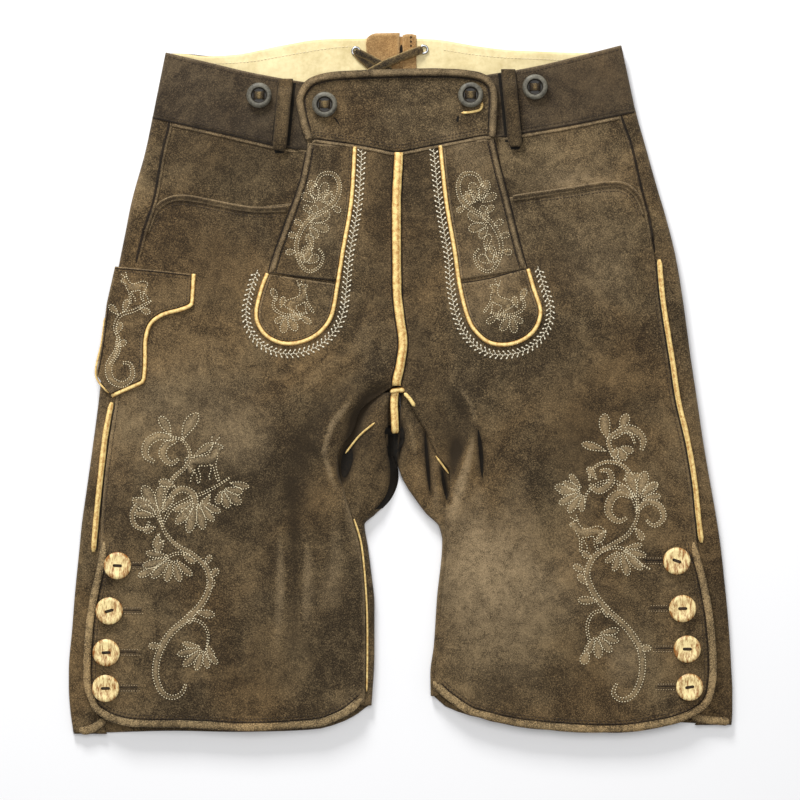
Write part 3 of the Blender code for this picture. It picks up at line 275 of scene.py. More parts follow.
def at_row(rows, column, j):
    """One column of a list of rows at a row number that need not be whole."""
    return blend_rows(list(range(len(rows))), [getattr(row, column) for row in rows], j)


def dip_at(rows, across):
    """Drop of a hem at a share of the way across."""
    return blend_rows([row.across for row in rows], [row.drop for row in rows], across)


print("side fold of the right leg at y 0:", round(fold_x("r", 0), 1))

# %% Lines, and places along them
def smooth_line(points, step):
    """Points every step mm on a curve through the given points."""
    ends = [points[0], *points, points[-1]]
    line = [Point(*points[0][:2])]
    for a, b, c, d in zip(ends, ends[1:], ends[2:], ends[3:]):
        count = max(1, round(math.hypot(c[0] - b[0], c[1] - b[1]) / step))
        for index in range(1, count + 1):
            t = index / count
            weights = (-0.5 * t + t ** 2 - 0.5 * t ** 3, 1 - 2.5 * t ** 2 + 1.5 * t ** 3,
                       0.5 * t + 2 * t ** 2 - 1.5 * t ** 3, -0.5 * t ** 2 + 0.5 * t ** 3)
            line.append(Point(*(sum(w * p[n] for w, p in zip(weights, (a, b, c, d)))
                                for n in (0, 1))))
    return line


def held(share):
    """A share that stops at 0 and at 1."""
    return min(1.0, max(0.0, share))


def drift(x, y, layer):
    """Slow noise between about -1 and 1, the same on every run."""
    return noise.noise(Vector((x, y, layer)))


def between(a, b, share):
    """Place (x, y) at a share of the way from one point to another."""
    return a[0] + (b[0] - a[0]) * share, a[1] + (b[1] - a[1]) * share


def along(points, share):
    """Point at a share (0 to 1) of the length of a line."""
    lengths = [math.dist(a, b) for a, b in zip(points, points[1:])]
    left = share * sum(lengths)
    for (a, b), length in zip(zip(points, points[1:]), lengths):
        if left <= length:
            return Point(*between(a, b, left / length if length else 0.0))
        left -= length
    return points[-1]


def turned_by(angle, x, y, middle=(0.0, 0.0)):
    """A point (x, y) turned by an angle and moved with its middle."""
    c, s = math.cos(angle), math.sin(angle)
    return Point(middle[0] + x * c - y * s, middle[1] + x * s + y * c)


def with_run(path):
    """Each point of a line with the direction of the line there."""
    for before, point, after in zip([path[0], *path], path, [*path[1:], path[-1]]):
        yield point, Vector((after[0] - before[0], after[1] - before[1])).normalized()


def beside(point, run, distance):
    """Point at a distance to the left of a line that runs a given way."""
    return Point(point.x - run.y * distance, point.y + run.x * distance)


def inset_path(path, distance):
    """The same line moved sideways: a positive distance moves it to its left."""
    return [beside(point, run, distance) for point, run in with_run(path)]


def line_length(path):
    return sum(math.dist(a, b) for a, b in zip(path, path[1:]))


print("right pocket opening:", round(line_length(smooth_line(POCKET_EDGE["r"], 3))), "mm long")

# %% [markdown]
# ## How the leather lies
# Two layers of suede with a little air between them rise from the side folds to a low crown.
# Wearing leaves long soft creases from the crotch and knees, and the hide itself is never flat.
# Height is therefore a sum: the level of the tables, a few listed creases, each with its
# own length, width and depth, and slow noise for the hand of the hide. Every panel reads the same
# function, so panels that lap keep their distance while the creases run on across the seams.

# %% Creases: ridges (positive) and troughs along bent lines
Crease = namedtuple("Crease", "x0 y0 x1 y1 x2 y2 width height")
FRONT_CREASES = table(Crease,
    -38, -12, -57, -30, -64, -50, 9, 4.2, -64, -50, -60, -64, -54, -80, 8, 4.2,
    -56, -80, -50, -104, -44, -130, 9, 2.4, 46, 0, 60, -18, 63, -38, 9, 3.8,
    63, -38, 58, -58, 53, -78, 8, 4.0, 54, -78, 49, -100, 46, -130, 9, 2.6,
    -20, 26, -46, 6, -74, -20, 10, -2.2, 30, -18, 40, -32, 47, -54, 8, -3.0,
    64, -34, 69, -54, 70, -84, 3.2, -2.6, -92, -76, -88, -140, -89, -205, 7, -1.6,
    -98, -90, -97, -150, -100, -215, 16, 1.2, -88, -210, -76, -226, -66, -236, 7, -1.5,
    -66, -238, -64, -252, -71, -268, 5, -0.9, -27, 72, -38, 46, -52, 26, 4.5, -0.8,
    -36, 54, -24, 62, -14, 70, 5, -0.6, -122, -222, -124, -234, -126, -246, 6, 0.8,
    -147, -250, -150, -262, -146, -272, 7, 0.7, 18, 30, 34, 6, 40, -8, 9, -1.2,
    30, 20, 52, 14, 70, 2, 12, 0.9, 84, -60, 92, -110, 86, -160, 22, 1.0,
    104, -40, 128, -90, 132, -150, 20, -1.1, -128, -20, -140, -70, -134, -120, 24, 0.8,
    -70, 90, -96, 20, -92, -30, 24, -0.9, 66, 20, 84, -14, 96, -56, 14, -1.3,
    150, 60, 168, 0, 160, -60, 26, 0.9, 46, -120, 58, -150, 52, -190, 16, 1.2,
    62, -190, 84, -214, 110, -226, 14, -0.8, 170, 130, 150, 96, 140, 60, 20, 0.9,
    -160, 120, -152, 80, -160, 30, 22, 0.8)
SHARED_CREASES = table(Crease,
    -205, 262, -176, 252, -150, 256, 12, 0.7, -172, 236, -150, 230, -130, 234, 14, -0.7,
    150, 262, 160, 248, 176, 240, 13, 0.8, -186, 196, -160, 186, -132, 190, 16, 0.7,
    130, 196, 152, 184, 176, 190, 15, 0.8, -60, 244, -30, 232, 0, 236, 16, -0.5,
    20, 226, 36, 234, 56, 226, 12, 0.5)
THIGH_CREASES = table(Crease,
    -16, -24, -22, -48, -22, -84, 9, 3.4, -46, -60, -48, -68, -49, -78, 5, -3.4,
    9, -30, 12, -54, 16, -84, 6.5, 3.0, 21, -40, 24, -64, 27, -92, 3.0, -5.0,
    31, -62, 33, -80, 35, -98, 4.5, 2.4, -33, -50, -36, -58, -34, -66, 6, -1.6,
    -16, -66, -14, -84, -22, -98, 4, -0.8, 36, -68, 38, -82, 40, -100, 2.6, -4.0,
    -34, -80, -30, -94, -34, -108, 5, 1.4, -2, -34, -2, -46, -3, -60, 5.5, -5.0)
VALLEYS = table(Crease,
    -8, -2, -24, -11, -36, -27, 8, -5.0, -36, -27, -41, -46, -47, -70, 7, -6.0,
    -48, -72, -46, -86, -41, -104, 4, -2.0, 12, -22, 24, -40, 35, -58, 8, -3.4,
    38, -58, 43, -76, 42, -98, 6, -4.0)
print("creases on the legs:", len(FRONT_CREASES) + len(THIGH_CREASES))

# %% Painted shade in the folds and painted highlight on their crests, with some soiling and rub
FOLD_SHADING_AND_SOIL = table(Crease,
    -8, -1, -26, -11, -37, -28, 6.5, -0.95, -37, -28, -42, -48, -47, -74, 6, -1.0,
    -45, -58, -47, -68, -49, -79, 4.5, -1.6, -2, -30, -3, -44, -4, -58, 5, -1.7,
    -5, -56, -5, -74, -6, -94, 4, -1.1, 21, -39, 23, -64, 26, -92, 2.0, -1.3,
    35, -70, 38, -84, 41, -98, 2.2, -1.3, 65, -36, 68, -56, 69, -82, 2.4, -0.9,
    28, -26, 40, -36, 47, -54, 8, -0.5, -42, -15, -57, -33, -64, -56, 3.4, 0.7,
    -64, -56, -60, -70, -54, -86, 3.2, 0.5, -52, -84, -44, -106, -36, -146, 4, 0.16,
    50, -3, 60, -24, 64, -38, 4, 0.16, 60, -46, 52, -74, 44, -110, 4, 0.5,
    -18, -28, -22, -50, -22, -80, 6, 0.18, 9, -34, 12, -54, 17, -84, 4, 0.28,
    -92, -84, -88, -140, -90, -225, 5, -0.5, -86, -212, -74, -228, -66, -238, 4, -0.4,
    -66, -240, -64, -252, -70, -270, 3, -0.35, -27, 72, -38, 46, -52, 26, 2.2, -0.5,
    -36, 54, -24, 62, -14, 70, 2.4, -0.35, -101, -120, -100, -170, -104, -228, 4.5, 0.34,
    -10, 186, -14, 120, -12, 20, 9, -0.22, 8, 186, 10, 120, 14, 20, 10, -0.22,
    66, -40, 80, -84, 76, -128, 9, -0.2, -70, -30, -84, -70, -80, -120, 10, -0.16,
    -34, 8, -64, -18, -88, -48, 9, -0.42, -72, -46, -86, -62, -98, -86, 12, -0.36,
    -80, -110, -78, -150, -80, -200, 5, 0.3, -57, -100, -54, -140, -58, -180, 6, 0.2,
    50, -44, 45, -58, 41, -76, 5, -0.6, 46, 0, 59, -16, 64, -38, 1.8, 0.26,
    38, 0, 52, -18, 58, -36, 6, -0.62, 57, -42, 51, -60, 43, -80, 2.6, -0.5,
    62, -44, 58, -64, 51, -92, 3.4, 0.3, 12, 60, 18, 20, 26, -10, 9, -0.25,
    -118, -150, -116, -190, -122, -226, 8, -0.2, 24, -60, 28, -80, 30, -100, 4, 0.22,
    -26, -60, -30, -84, -36, -104, 6, 0.14, 130, -40, 120, -90, 126, -150, 10, -0.14)


def crease_sum(creases, x, y):
    """Sum of the creases at a point; each fades towards both of its ends."""
    total = 0.0
    for c in creases:
        reach = 2.2 * c.width
        if not (min(c.x0, c.x1, c.x2) - reach < x < max(c.x0, c.x1, c.x2) + reach
                and min(c.y0, c.y1, c.y2) - reach < y < max(c.y0, c.y1, c.y2) + reach):
            continue
        best = None
        for ax, ay, bx, by, start in ((c.x0, c.y0, c.x1, c.y1, 0.0),
                                      (c.x1, c.y1, c.x2, c.y2, 0.5)):
            rx, ry = bx - ax, by - ay
            share = held(((x - ax) * rx + (y - ay) * ry) / (rx * rx + ry * ry))
            gap = math.hypot(x - ax - rx * share, y - ay - ry * share)
            if best is None or gap < best[0]:
                best = (gap, start + share / 2)
        fall = math.sin(math.pi * held(0.12 + 0.76 * best[1])) ** 0.6
        total += c.height * fall * math.exp(-(best[0] / c.width) ** 2)
    return total


print("shade in the crease of the right thigh:", round(crease_sum(FOLD_SHADING_AND_SOIL, -30, -20), 2))

# %% Height of the top layer
def fade(distance, width):
    """1 at an edge, easing to 0 at a width from it."""
    u = held(distance / width)
    return (1 - u) ** 2 * (1 + 2 * u)


def hand_of_hide(x, y):
    """Slow unevenness of the hide, in mm."""
    broad = drift(x / 62, y / 74, 3.1)
    middle = drift(x / 24, y / 28, 7.7)
    small = drift(x / 9, y / 9, 1.3)
    return 0.9 * broad + 0.34 * middle + 0.09 * small


def level_height(side, x, y):
    """Outer face of the top layer without the creases of the legs."""
    outer = abs(x - fold_x(side, y))
    middle = at_level(HEIGHTS, "mid", y)
    edge = fade(outer - 8, SHOULDER)
    height = middle - (middle - at_level(HEIGHTS, "side", y)) * edge
    calm = 1 - edge
    if y < INNERS[side][0].y:
        near = fade(abs(x - at_level(INNERS[side], "turn", y)), SHOULDER * 0.7)
        height -= (middle - at_level(HEIGHTS, "inner", y)) * near
        calm *= 1 - 0.8 * near
    return (height + (hand_of_hide(x, y) + crease_sum(SHARED_CREASES, x, y)) * calm
            + crease_sum(VALLEYS, x, y))


def top_height(side, x, y):
    """Outer face of the front panel."""
    return level_height(side, x, y) + crease_sum(FRONT_CREASES, x, y)


def side_radius(y):
    return (at_level(HEIGHTS, "side", y) - LAP) / 2


def inner_radius(y):
    return (at_level(HEIGHTS, "inner", y) - LAP) / 2


print("height over the right thigh:", round(top_height("r", -140, -60), 1), "mm")

# %% [markdown]
# ## Suede, thread, horn and smooth leather
# Suede is leather with its fibres brushed up: it has no gloss, its colour wanders in soft patches
# from handling, and it is speckled from fibre to fibre. One node group holds this nap, so that
# the legs, the bands and the rolled edges differ only in the values they give it. It reads a
# "wear_and_shade" value stored on each point of a mesh: seams and edges rub pale, crests get a
# painted highlight with some rub, and folds and hollows get painted shade with some soiling.

# %% Making and feeding shader nodes
def new_group(name, inputs, outputs):
    """Empty shader node group with the named sockets; returns its tree and both end nodes."""
    tree = bpy.data.node_groups.new(name, "ShaderNodeTree")
    for label, kind, value in inputs:
        socket = tree.interface.new_socket(label, in_out="INPUT", socket_type=kind)
        socket.default_value = value
    for label, kind in outputs:
        tree.interface.new_socket(label, in_out="OUTPUT", socket_type=kind)
    return tree, tree.nodes.new("NodeGroupInput"), tree.nodes.new("NodeGroupOutput")


def feed(tree, node, sockets):
    """Gives each named socket of a node a value, or a link from another node's socket."""
    for label, value in sockets.items():
        if isinstance(value, bpy.types.NodeSocket):
            tree.links.new(value, node.inputs[label])
        else:
            node.inputs[label].default_value = value


def new_node(tree, kind, sockets, **settings):
    """New shader node with its settings and what it is fed."""
    node = tree.nodes.new("ShaderNode" + kind)
    for label, value in settings.items():
        setattr(node, label, value)
    feed(tree, node, sockets)
    return node


def noise_node(tree, coords, scale, detail, rough=0.55, warp=0.0):
    """Noise of so many bumps to the metre."""
    return new_node(tree, "TexNoise", {"Vector": coords, "Scale": scale, "Detail": detail,
                                       "Roughness": rough, "Distortion": warp}).outputs["Fac"]


def ramp_value(tree, value, low, high, to_low=0.0, to_high=1.0):
    """Maps a value from low..high to another range and holds it there."""
    return new_node(tree, "MapRange", {"Value": value, "From Min": low, "From Max": high,
                                       "To Min": to_low, "To Max": to_high}).outputs["Result"]


def math_node(tree, kind, a, b):
    """Sum, product and the like of two values, each a socket or a number."""
    return new_node(tree, "Math", {0: a, 1: b}, operation=kind).outputs[0]


def mix_colour(tree, share, a, b, kind="MIX"):
    """Mix of two colours, each a socket or four numbers."""
    return new_node(tree, "Mix", {0: share, 6: a, 7: b}, data_type="RGBA",
                    blend_type=kind).outputs[2]


def group_tools(tree):
    """Coordinates of the piece, its stored wear and painted shade, and the sums a group is built
    from.
    """
    coords = new_node(tree, "TexCoord", {}).outputs["Object"]
    wear_and_shade = new_node(tree, "Attribute", {}, attribute_name="wear_and_shade").outputs["Fac"]
    return coords, wear_and_shade, *(partial(math_node, tree, kind)
                           for kind in ("ADD", "SUBTRACT", "MULTIPLY"))


# %% A node group for nap, with named inputs and outputs
WARM, COOL = (1.06, 0.985, 0.87, 1), (0.98, 0.995, 0.99, 1)


def nap_group():
    """Colour, roughness and height of brushed suede."""
    tree, start, end = new_group("nap", (
        ("Deep", "NodeSocketColor", (0.03, 0.02, 0.012, 1)),
        ("Body", "NodeSocketColor", (0.08, 0.055, 0.033, 1)),
        ("Rubbed and lit", "NodeSocketColor", (0.22, 0.16, 0.1, 1)),
        ("Patches", "NodeSocketFloat", 1.0),
        ("Speckle", "NodeSocketFloat", 1.0),
    ), (("Color", "NodeSocketColor"), ("Roughness", "NodeSocketFloat"),
        ("Height", "NodeSocketFloat")))
    coords, wear_and_shade, add, less, times = group_tools(tree)
    bumps, spread = partial(noise_node, tree, coords), partial(ramp_value, tree)
    mix, given = partial(mix_colour, tree), start.outputs
    cloud = spread(bumps(11, 4, 0.62, 0.8), 0.36, 0.66)
    smudge = spread(bumps(38, 3, 0.6, 1.2), 0.36, 0.66)
    mottle = spread(bumps(110, 5, 0.7, 0.5), 0.34, 0.68)
    speck, fibre = bumps(900, 2, 0.75, 0.5), bumps(1500, 2, 0.7, 1.2)
    broad = add(add(times(cloud, 0.28), times(mottle, 0.2)), times(smudge, 0.16))
    shade = add(times(less(broad, 0.33), given["Patches"]), 0.1)
    grains = add(spread(speck, 0.46, 0.72, -0.04, 0.46), spread(fibre, 0.48, 0.74, -0.03, 0.46))
    bright = spread(add(shade, times(grains, given["Speckle"])), 0.0, 1.0)
    plain = mix(bright, given["Deep"], given["Body"])
    tint = spread(bumps(9, 3, 0.6, 0.6), 0.4, 0.62)
    tinted = mix(tint, mix(1.0, plain, COOL, "MULTIPLY"), mix(1.0, plain, WARM, "MULTIPLY"))
    catch = add(spread(fibre, 0.38, 0.64, -0.2, 1.3), spread(mottle, 0.0, 1.0, 0.1, 0.95))
    # Positive stored values rub the suede pale and paint highlights on crests and crowns; negative
    # ones soil it and paint shade in folds and hollows.
    rubbed_and_lit = mix(spread(times(wear_and_shade, catch), 0.0, 1.0), tinted, given["Rubbed and lit"])
    soiled_and_shaded = mix(spread(times(wear_and_shade, -1.0), 0.0, 1.0), rubbed_and_lit, given["Deep"])
    feed(tree, end, {"Color": soiled_and_shaded, "Roughness": spread(speck, 0.2, 0.8, 0.86, 1.0),
                     "Height": add(times(speck, 0.7), times(fibre, 0.5))})
    return tree


NAP = nap_group()
print("nap group nodes:", len(NAP.nodes))

# %% [markdown]
# Smooth leather, thread and horn need less: a colour that drifts between two tones, a little
# darkening, and a fine height. They share a second group, and each material sets its own scale,
# so thread twists in fractions of a millimetre and lining wrinkles in centimetres.

# %% A node group for drifting tone
def tone_group():
    """Colour and height of a material that drifts between two tones."""
    tree, start, end = new_group("tone", (
        ("Light", "NodeSocketColor", (0.7, 0.5, 0.2, 1)),
        ("Dark", "NodeSocketColor", (0.4, 0.25, 0.1, 1)),
        ("Broad", "NodeSocketFloat", 60.0),
        ("Fine", "NodeSocketFloat", 600.0),
        ("Along X", "NodeSocketFloat", 1.0),
        ("Contrast", "NodeSocketFloat", 1.0),
    ), (("Color", "NodeSocketColor"), ("Height", "NodeSocketFloat")))
    coords, wear_and_shade, add, less, times = group_tools(tree)
    spread, given = partial(ramp_value, tree), start.outputs
    stretch = new_node(tree, "CombineXYZ", {0: given["Along X"], 1: 1.0, 2: 1.0}).outputs[0]
    scaled = new_node(tree, "VectorMath", {0: coords, 1: stretch}, operation="MULTIPLY").outputs[0]
    broad = noise_node(tree, scaled, given["Broad"], 3, 0.6, 0.5)
    fine = noise_node(tree, scaled, given["Fine"], 3, 0.65)
    mask = add(spread(broad, 0.35, 0.68, 0.0, 0.7), spread(fine, 0.35, 0.7, -0.1, 0.4))
    # The stored value moves the colour towards Dark: painted shade on the flanks of piping and in
    # the dish of a brace button, and a darker rim on horn.
    mask = add(add(times(less(mask, 0.5), given["Contrast"]), 0.5), wear_and_shade)
    mixed = mix_colour(tree, spread(mask, 0.0, 1.0), given["Light"], given["Dark"])
    feed(tree, end, {"Color": mixed, "Height": add(times(broad, 0.4), fine)})
    return tree


TONE = tone_group()
print("tone group nodes:", len(TONE.nodes))

# %% One maker for all the finishes
def finish_material(name, group, values, roughness=None, bump=0.3, depth=0.0004, sheen=0.0,
                    metallic=0.0):
    """Principled material whose colour and height come from a group with its own values."""
    made = bpy.data.materials.new(name)
    made.use_nodes = True
    tree = made.node_tree
    node = new_node(tree, "Group", {}, node_tree=group)
    feed(tree, node, values)
    bumped = new_node(tree, "Bump", {"Strength": bump, "Distance": depth,
                                     "Height": node.outputs["Height"]})
    feed(tree, tree.nodes["Principled BSDF"], {
        "Base Color": node.outputs["Color"],
        "Roughness": node.outputs["Roughness"] if roughness is None else roughness,
        "Metallic": metallic, "Specular IOR Level": 0.25 if group is NAP else 0.4,
        "Sheen Weight": sheen, "Sheen Roughness": 0.55, "Sheen Tint": (0.75, 0.62, 0.45, 1),
        "Normal": bumped.outputs["Normal"]})
    return made


def colour(red, green, blue):
    """Colour of a material from the 0..255 numbers of a paint card."""
    return tuple(((v / 255 + 0.055) / 1.055) ** 2.4 if v > 10 else v / 3294
                 for v in (red, green, blue)) + (1.0,)


def nap(name, deep, body, rubbed_and_lit, patches, speckle, bump, depth, sheen=0.0):
    """Brushed leather: its colour in the depth, on the body, and where it is rubbed or painted lit.
    """
    return finish_material(name, NAP, {
        "Deep": colour(*deep), "Body": colour(*body), "Rubbed and lit": colour(*rubbed_and_lit),
        "Patches": patches, "Speckle": speckle}, bump=bump, depth=depth, sheen=sheen)


def tone(name, light, dark, broad, fine, roughness, bump, depth, metallic=0.0, more=None):
    """Smooth material that drifts between two colours, in broad and fine bumps to the metre."""
    return finish_material(name, TONE, {
        "Light": colour(*light), "Dark": colour(*dark), "Broad": broad, "Fine": fine,
        **(more or {})}, roughness, bump, depth, metallic=metallic)


# %% The finishes of leather, horn, metal and thread
SUEDE = nap("suede", (42, 32, 18), (164, 139, 101), (168, 145, 110), 1.0, 1.0, 0.8, 0.0009, 0.08)
BAND_SUEDE = nap("band_suede", (39, 31, 22), (128, 110, 84), (146, 128, 102), 0.9, 0.8, 0.6,
                 0.0007, 0.08)
ROLL_SUEDE = nap("rolled_edge", (44, 34, 20), (206, 178, 132), (178, 152, 110), 1.5, 1.6, 0.9,
                 0.0009, 0.08)
SEAM_SHADE = nap("painted_seam_shade", (22, 17, 12), (76, 62, 46), (90, 74, 54), 0.8, 0.8, 0.4, 0.0005)
PAINTED_DEEP_SHADE = nap("painted_deep_shade", (13, 11, 8), (48, 39, 28), (44, 36, 26), 0.8, 0.8, 0.2, 0.0004)
PAD_SUEDE = nap("padded_leaf", (50, 40, 26), (182, 158, 118), (178, 156, 120), 1.0, 1.3, 0.6,
                0.0007, 0.08)
CAMEL = nap("camel_suede", (126, 96, 60), (218, 180, 124), (212, 176, 126), 0.9, 0.8, 0.4, 0.0004,
            0.1)
PIPING = tone("piping", (252, 224, 148), (172, 122, 58), 330.0, 1300.0, 0.6, 0.3, 0.0004)
LINING = tone("lining", (228, 212, 164), (198, 180, 130), 34.0, 240.0, 0.8, 0.25, 0.0005)
HORN = tone("horn", (252, 230, 166), (150, 94, 36), 90.0, 330.0, 0.36, 0.45, 0.0004,
            more={"Along X": 3.4, "Contrast": 1.7})
BUTTON_GREY = tone("button_grey", (110, 106, 92), (40, 36, 30), 130.0, 700.0, 0.5, 0.2, 0.0002)
THONG = nap("thong", (28, 21, 14), (136, 116, 80), (170, 144, 96), 0.8, 0.8, 0.4, 0.0004, 0.1)
METAL = tone("metal", (190, 190, 192), (120, 120, 124), 90.0, 600.0, 0.32, 0.1, 0.0001,
             metallic=1.0)
PALE_THREAD = tone("pale_thread", (240, 228, 194), (206, 188, 150), 160.0, 1400.0, 0.6, 0.4, 0.0002)
WHITE_THREAD = tone("white_thread", (242, 234, 210), (206, 194, 166), 160.0, 1400.0, 0.55, 0.4,
                    0.0002)
SEAM_THREAD = tone("seam_thread", (70, 55, 38), (28, 21, 14), 160.0, 1400.0, 0.7, 0.4, 0.0002)
DULL_THREAD = tone("dull_thread", (206, 184, 146), (150, 128, 94), 160.0, 1400.0, 0.7, 0.4, 0.0002)
print("finishes:", len(bpy.data.materials))

# %% [markdown]
# ## Panels as thin sheets
# A leather panel is a surface with an even wall, so each one is a grid of points on its outer
# face, and Blender's Solidify modifier grows the wall inwards. Wear and painted light are stored
# while the points are laid: pale rub close to the panel's border, painted shade in the folds and
# painted highlight on the crests of creases, and a few listed patches where hands and saddle have
# polished or soiled the suede.

# %% Patches of wear
Patch = namedtuple("Patch", "x y across down amount")
PATCHES = table(Patch,
    96, -168, 52, 62, 0.42, 58, -150, 26, 60, 0.30, -66, -184, 22, 52, 0.1, -150, 52, 60, 40, 0.12,
    -145, 180, 48, 24, -0.2, -70, 170, 20, 26, 0.2, 150, 186, 46, 20, 0.12, 170, 100, 44, 44, 0.14,
    212, -60, 30, 70, 0.05, 22, 150, 14, 52, -0.34, -20, 118, 12, 50, -0.20, -24, 30, 22, 40, 0.10,
    -232, -60, 30, 52, 0.12, -190, -18, 40, 34, 0.18, -140, -214, 60, 40, 0.04,
    -30, -40, 30, 40, -0.22, 24, -60, 34, 40, -0.12, -152, 124, 50, 24, -0.22,
    150, 20, 56, 40, -0.14, 190, -236, 52, 26, 0.02, 150, 250, 50, 16, -0.3,
    -100, -220, 52, 40, -0.18, 60, 190, 20, 16, 0.22, -112, 60, 34, 34, -0.05,
    60, -232, 40, 30, 0.04, -60, -262, 60, 14, 0.10, -214, 216, 8, 60, 0.12, 0, 226, 60, 18, 0.06,
    -70, 246, 18, 14, -0.1, 84, 104, 18, 44, 0.2, 150, -54, 20, 34, -0.2, -72, 238, 44, 20, -0.2,
    -148, 206, 60, 24, -0.28, -62, 178, 44, 18, -0.2, 34, 208, 24, 12, 0.16,
    152, 168, 36, 10, 0.34, -150, 84, 28, 38, -0.34, -200, 74, 38, 40, -0.1,
    214, 100, 16, 30, -0.2, 186, -34, 52, 50, -0.2, -132, -48, 32, 34, 0.32,
    -20, 172, 14, 24, -0.16, -80, -102, 22, 42, -0.24, -22, -50, 16, 28, -0.1,
    50, -56, 18, 22, -0.16, 18, -2, 16, 18, -0.1, 70, -140, 34, 36, 0.14, 180, -128, 50, 24, -0.12,
    -122, -250, 60, 24, -0.24, -128, -104, 60, 46, -0.18, -26, -54, 22, 34, -0.14,
    -84, -40, 24, 30, -0.12, 150, -54, 26, 40, -0.24, -16, -66, 16, 20, -0.16,
    36, -64, 24, 24, -0.16, 150, -230, 20, 28, -0.36, 272, -215, 12, 60, -0.3,
    188, -231, 16, 20, 0.28, 66, 88, 22, 46, 0.14, -67, 150, 16, 36, 0.14, -64, 238, 24, 22, -0.14,
    52, 236, 24, 22, -0.14, -160, 182, 40, 20, -0.1)


def patch_wear(x, y):
    """Sum of the soft patches at a point."""
    return sum(p.amount * math.exp(-((x - p.x) / p.across) ** 2 - ((y - p.y) / p.down) ** 2)
               for p in PATCHES)


def edge_wear(u, v, reach, sides):
    """Pale rub close to the given borders of a panel, from its shares across and down."""
    gaps = {"l": u, "r": 1 - u, "t": v, "b": 1 - v}
    return 0.34 * fade(min(gaps[s] for s in sides), reach) if reach and sides else 0.0


def wear_and_fold_shading(x, y):
    """Patches of wear, with painted shade in the folds and painted highlight on their crests."""
    return patch_wear(x, y) + crease_sum(FOLD_SHADING_AND_SOIL, x, y)


def unworn(x, y):
    return 0.0


print("patches of wear:", len(PATCHES))

# %% Making meshes and hiding the nodes they stand for
made_pieces = []


def so_far(what):
    """Says what was made and how many pieces there are now."""
    print(f"{what} made, pieces so far: {len(made_pieces)}")


def to_frame(point):
    return (Vector(point) + SHIFT) * MM


def new_object(name, data):
    """Object with its data, linked into the scene."""
    obj = bpy.data.objects.new(name, data)
    bpy.context.scene.collection.objects.link(obj)
    return obj


def mesh_object(name, verts, faces, material, wear_and_shade=None):
    """Mesh piece from points in table millimetres, with the wear and painted shade stored on each
    of them.
    """
    mesh = bpy.data.meshes.new(name)
    mesh.from_pydata([to_frame(v) for v in verts], [], faces)
    mask = mesh.attributes.new("wear_and_shade", "FLOAT", "POINT")
    mask.data.foreach_set("value", wear_and_shade or [0.0] * len(verts))
    mesh.materials.append(material)
    mesh.shade_smooth()
    made_pieces.append(new_object(name, mesh))
    return made_pieces[-1]


def stand_for(obj, slot, *nodes):
    """The piece rides on the body and hides the nodes it replaces; the slot is not used."""
    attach(obj, "root")
    if nodes:
        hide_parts(*nodes)
    return obj


# %% Panels from grids of points
def merged(verts, faces, wear_and_shade):
    """The same faces with points that coincide joined."""
    index, keep, place = {}, [], []
    for number, v in enumerate(verts):
        key = tuple(round(c * 50) for c in v)
        if key not in index:
            index[key] = len(keep)
            keep.append(number)
        place.append(index[key])
    solid = []
    for face in faces:
        ring = []
        for number in (place[k] for k in face):
            if number not in ring:
                ring.append(number)
        if len(ring) > 2:
            solid.append(ring)
    return [verts[k] for k in keep], solid, [wear_and_shade[k] for k in keep]


def grid_faces(rows, across, first=0):
    """Faces between rows of points, with so many points across."""
    return [(a, a + across, a + across + 1, a + 1)
            for j in range(rows - 1)
            for a in range(first + j * across, first + (j + 1) * across - 1)]


def tube_faces(rings, around):
    """Faces of a tube through rings of points, shut at both ends."""
    faces = []
    for n in range(rings - 1):
        for k in range(around):
            a, b = n * around + k, n * around + (k + 1) % around
            faces.append((a, b, b + around, a + around))
    return [*faces, tuple(range(around))[::-1],
            tuple((rings - 1) * around + k for k in range(around))]


def sheet(name, grids, wall, material, turned, wear_and_shade=wear_and_fold_shading, edge=0.012, sides=("lrtb",) * 3):
    """Panel with its outer face through grids of points and its wall inside that face."""
    verts, faces, mask = [], [], []
    for grid, bare in zip(grids, sides):
        across = len(grid[0])
        first = len(verts)
        for j, row in enumerate(grid):
            for i, (x, y, z) in enumerate(row):
                verts.append((x, y, z))
                mask.append(wear_and_shade(x, y)
                            + edge_wear(i / (across - 1), j / (len(grid) - 1), edge, bare))
        faces += [ring if turned else ring[::-1] for ring in grid_faces(len(grid), across, first)]
    verts, faces, mask = merged(verts, faces, mask)
    obj = mesh_object(name, verts, faces, material, mask)
    solid = obj.modifiers.new("wall", "SOLIDIFY")
    solid.thickness = wall * MM
    solid.offset = -1
    solid.use_even_offset = True
    solid.use_quality_normals = True
    return obj


# %% [markdown]
# ## Leg, flap and pocket: the front panels
# Each front panel is one cut of leather: the leg, half of the drop flap and the facing of the
# pocket, with a slit between flap and pocket. The leg is ruled between the side seam and the
# inner edge; the two upper parts grow from its top row. Laying them as three joined grids keeps
# the slit truly open.

# %% The grid of a leg
LEG_COLUMNS, LEG_ROWS = 104, 156
POCKET_ROWS, FLAP_ROWS = 20, 40
POCKET_CORNER = 5 / 6                 # share of the facing's width up to its inner corner
SLIT_BY_POCKET = 0.55                 # share of the slit that the facing runs along
SLIT_GAP, SLIT_OPENS = 0.7, 0.15      # its width in mm and the level where it is reached
FLAP_LIFT, FLAP_LIFTED = 0.8, 0.45    # rise of the flap in mm and the level where it is reached
BIB_TAKES_OVER = 0.7                  # level from which the flap's rows bend to the bib's line


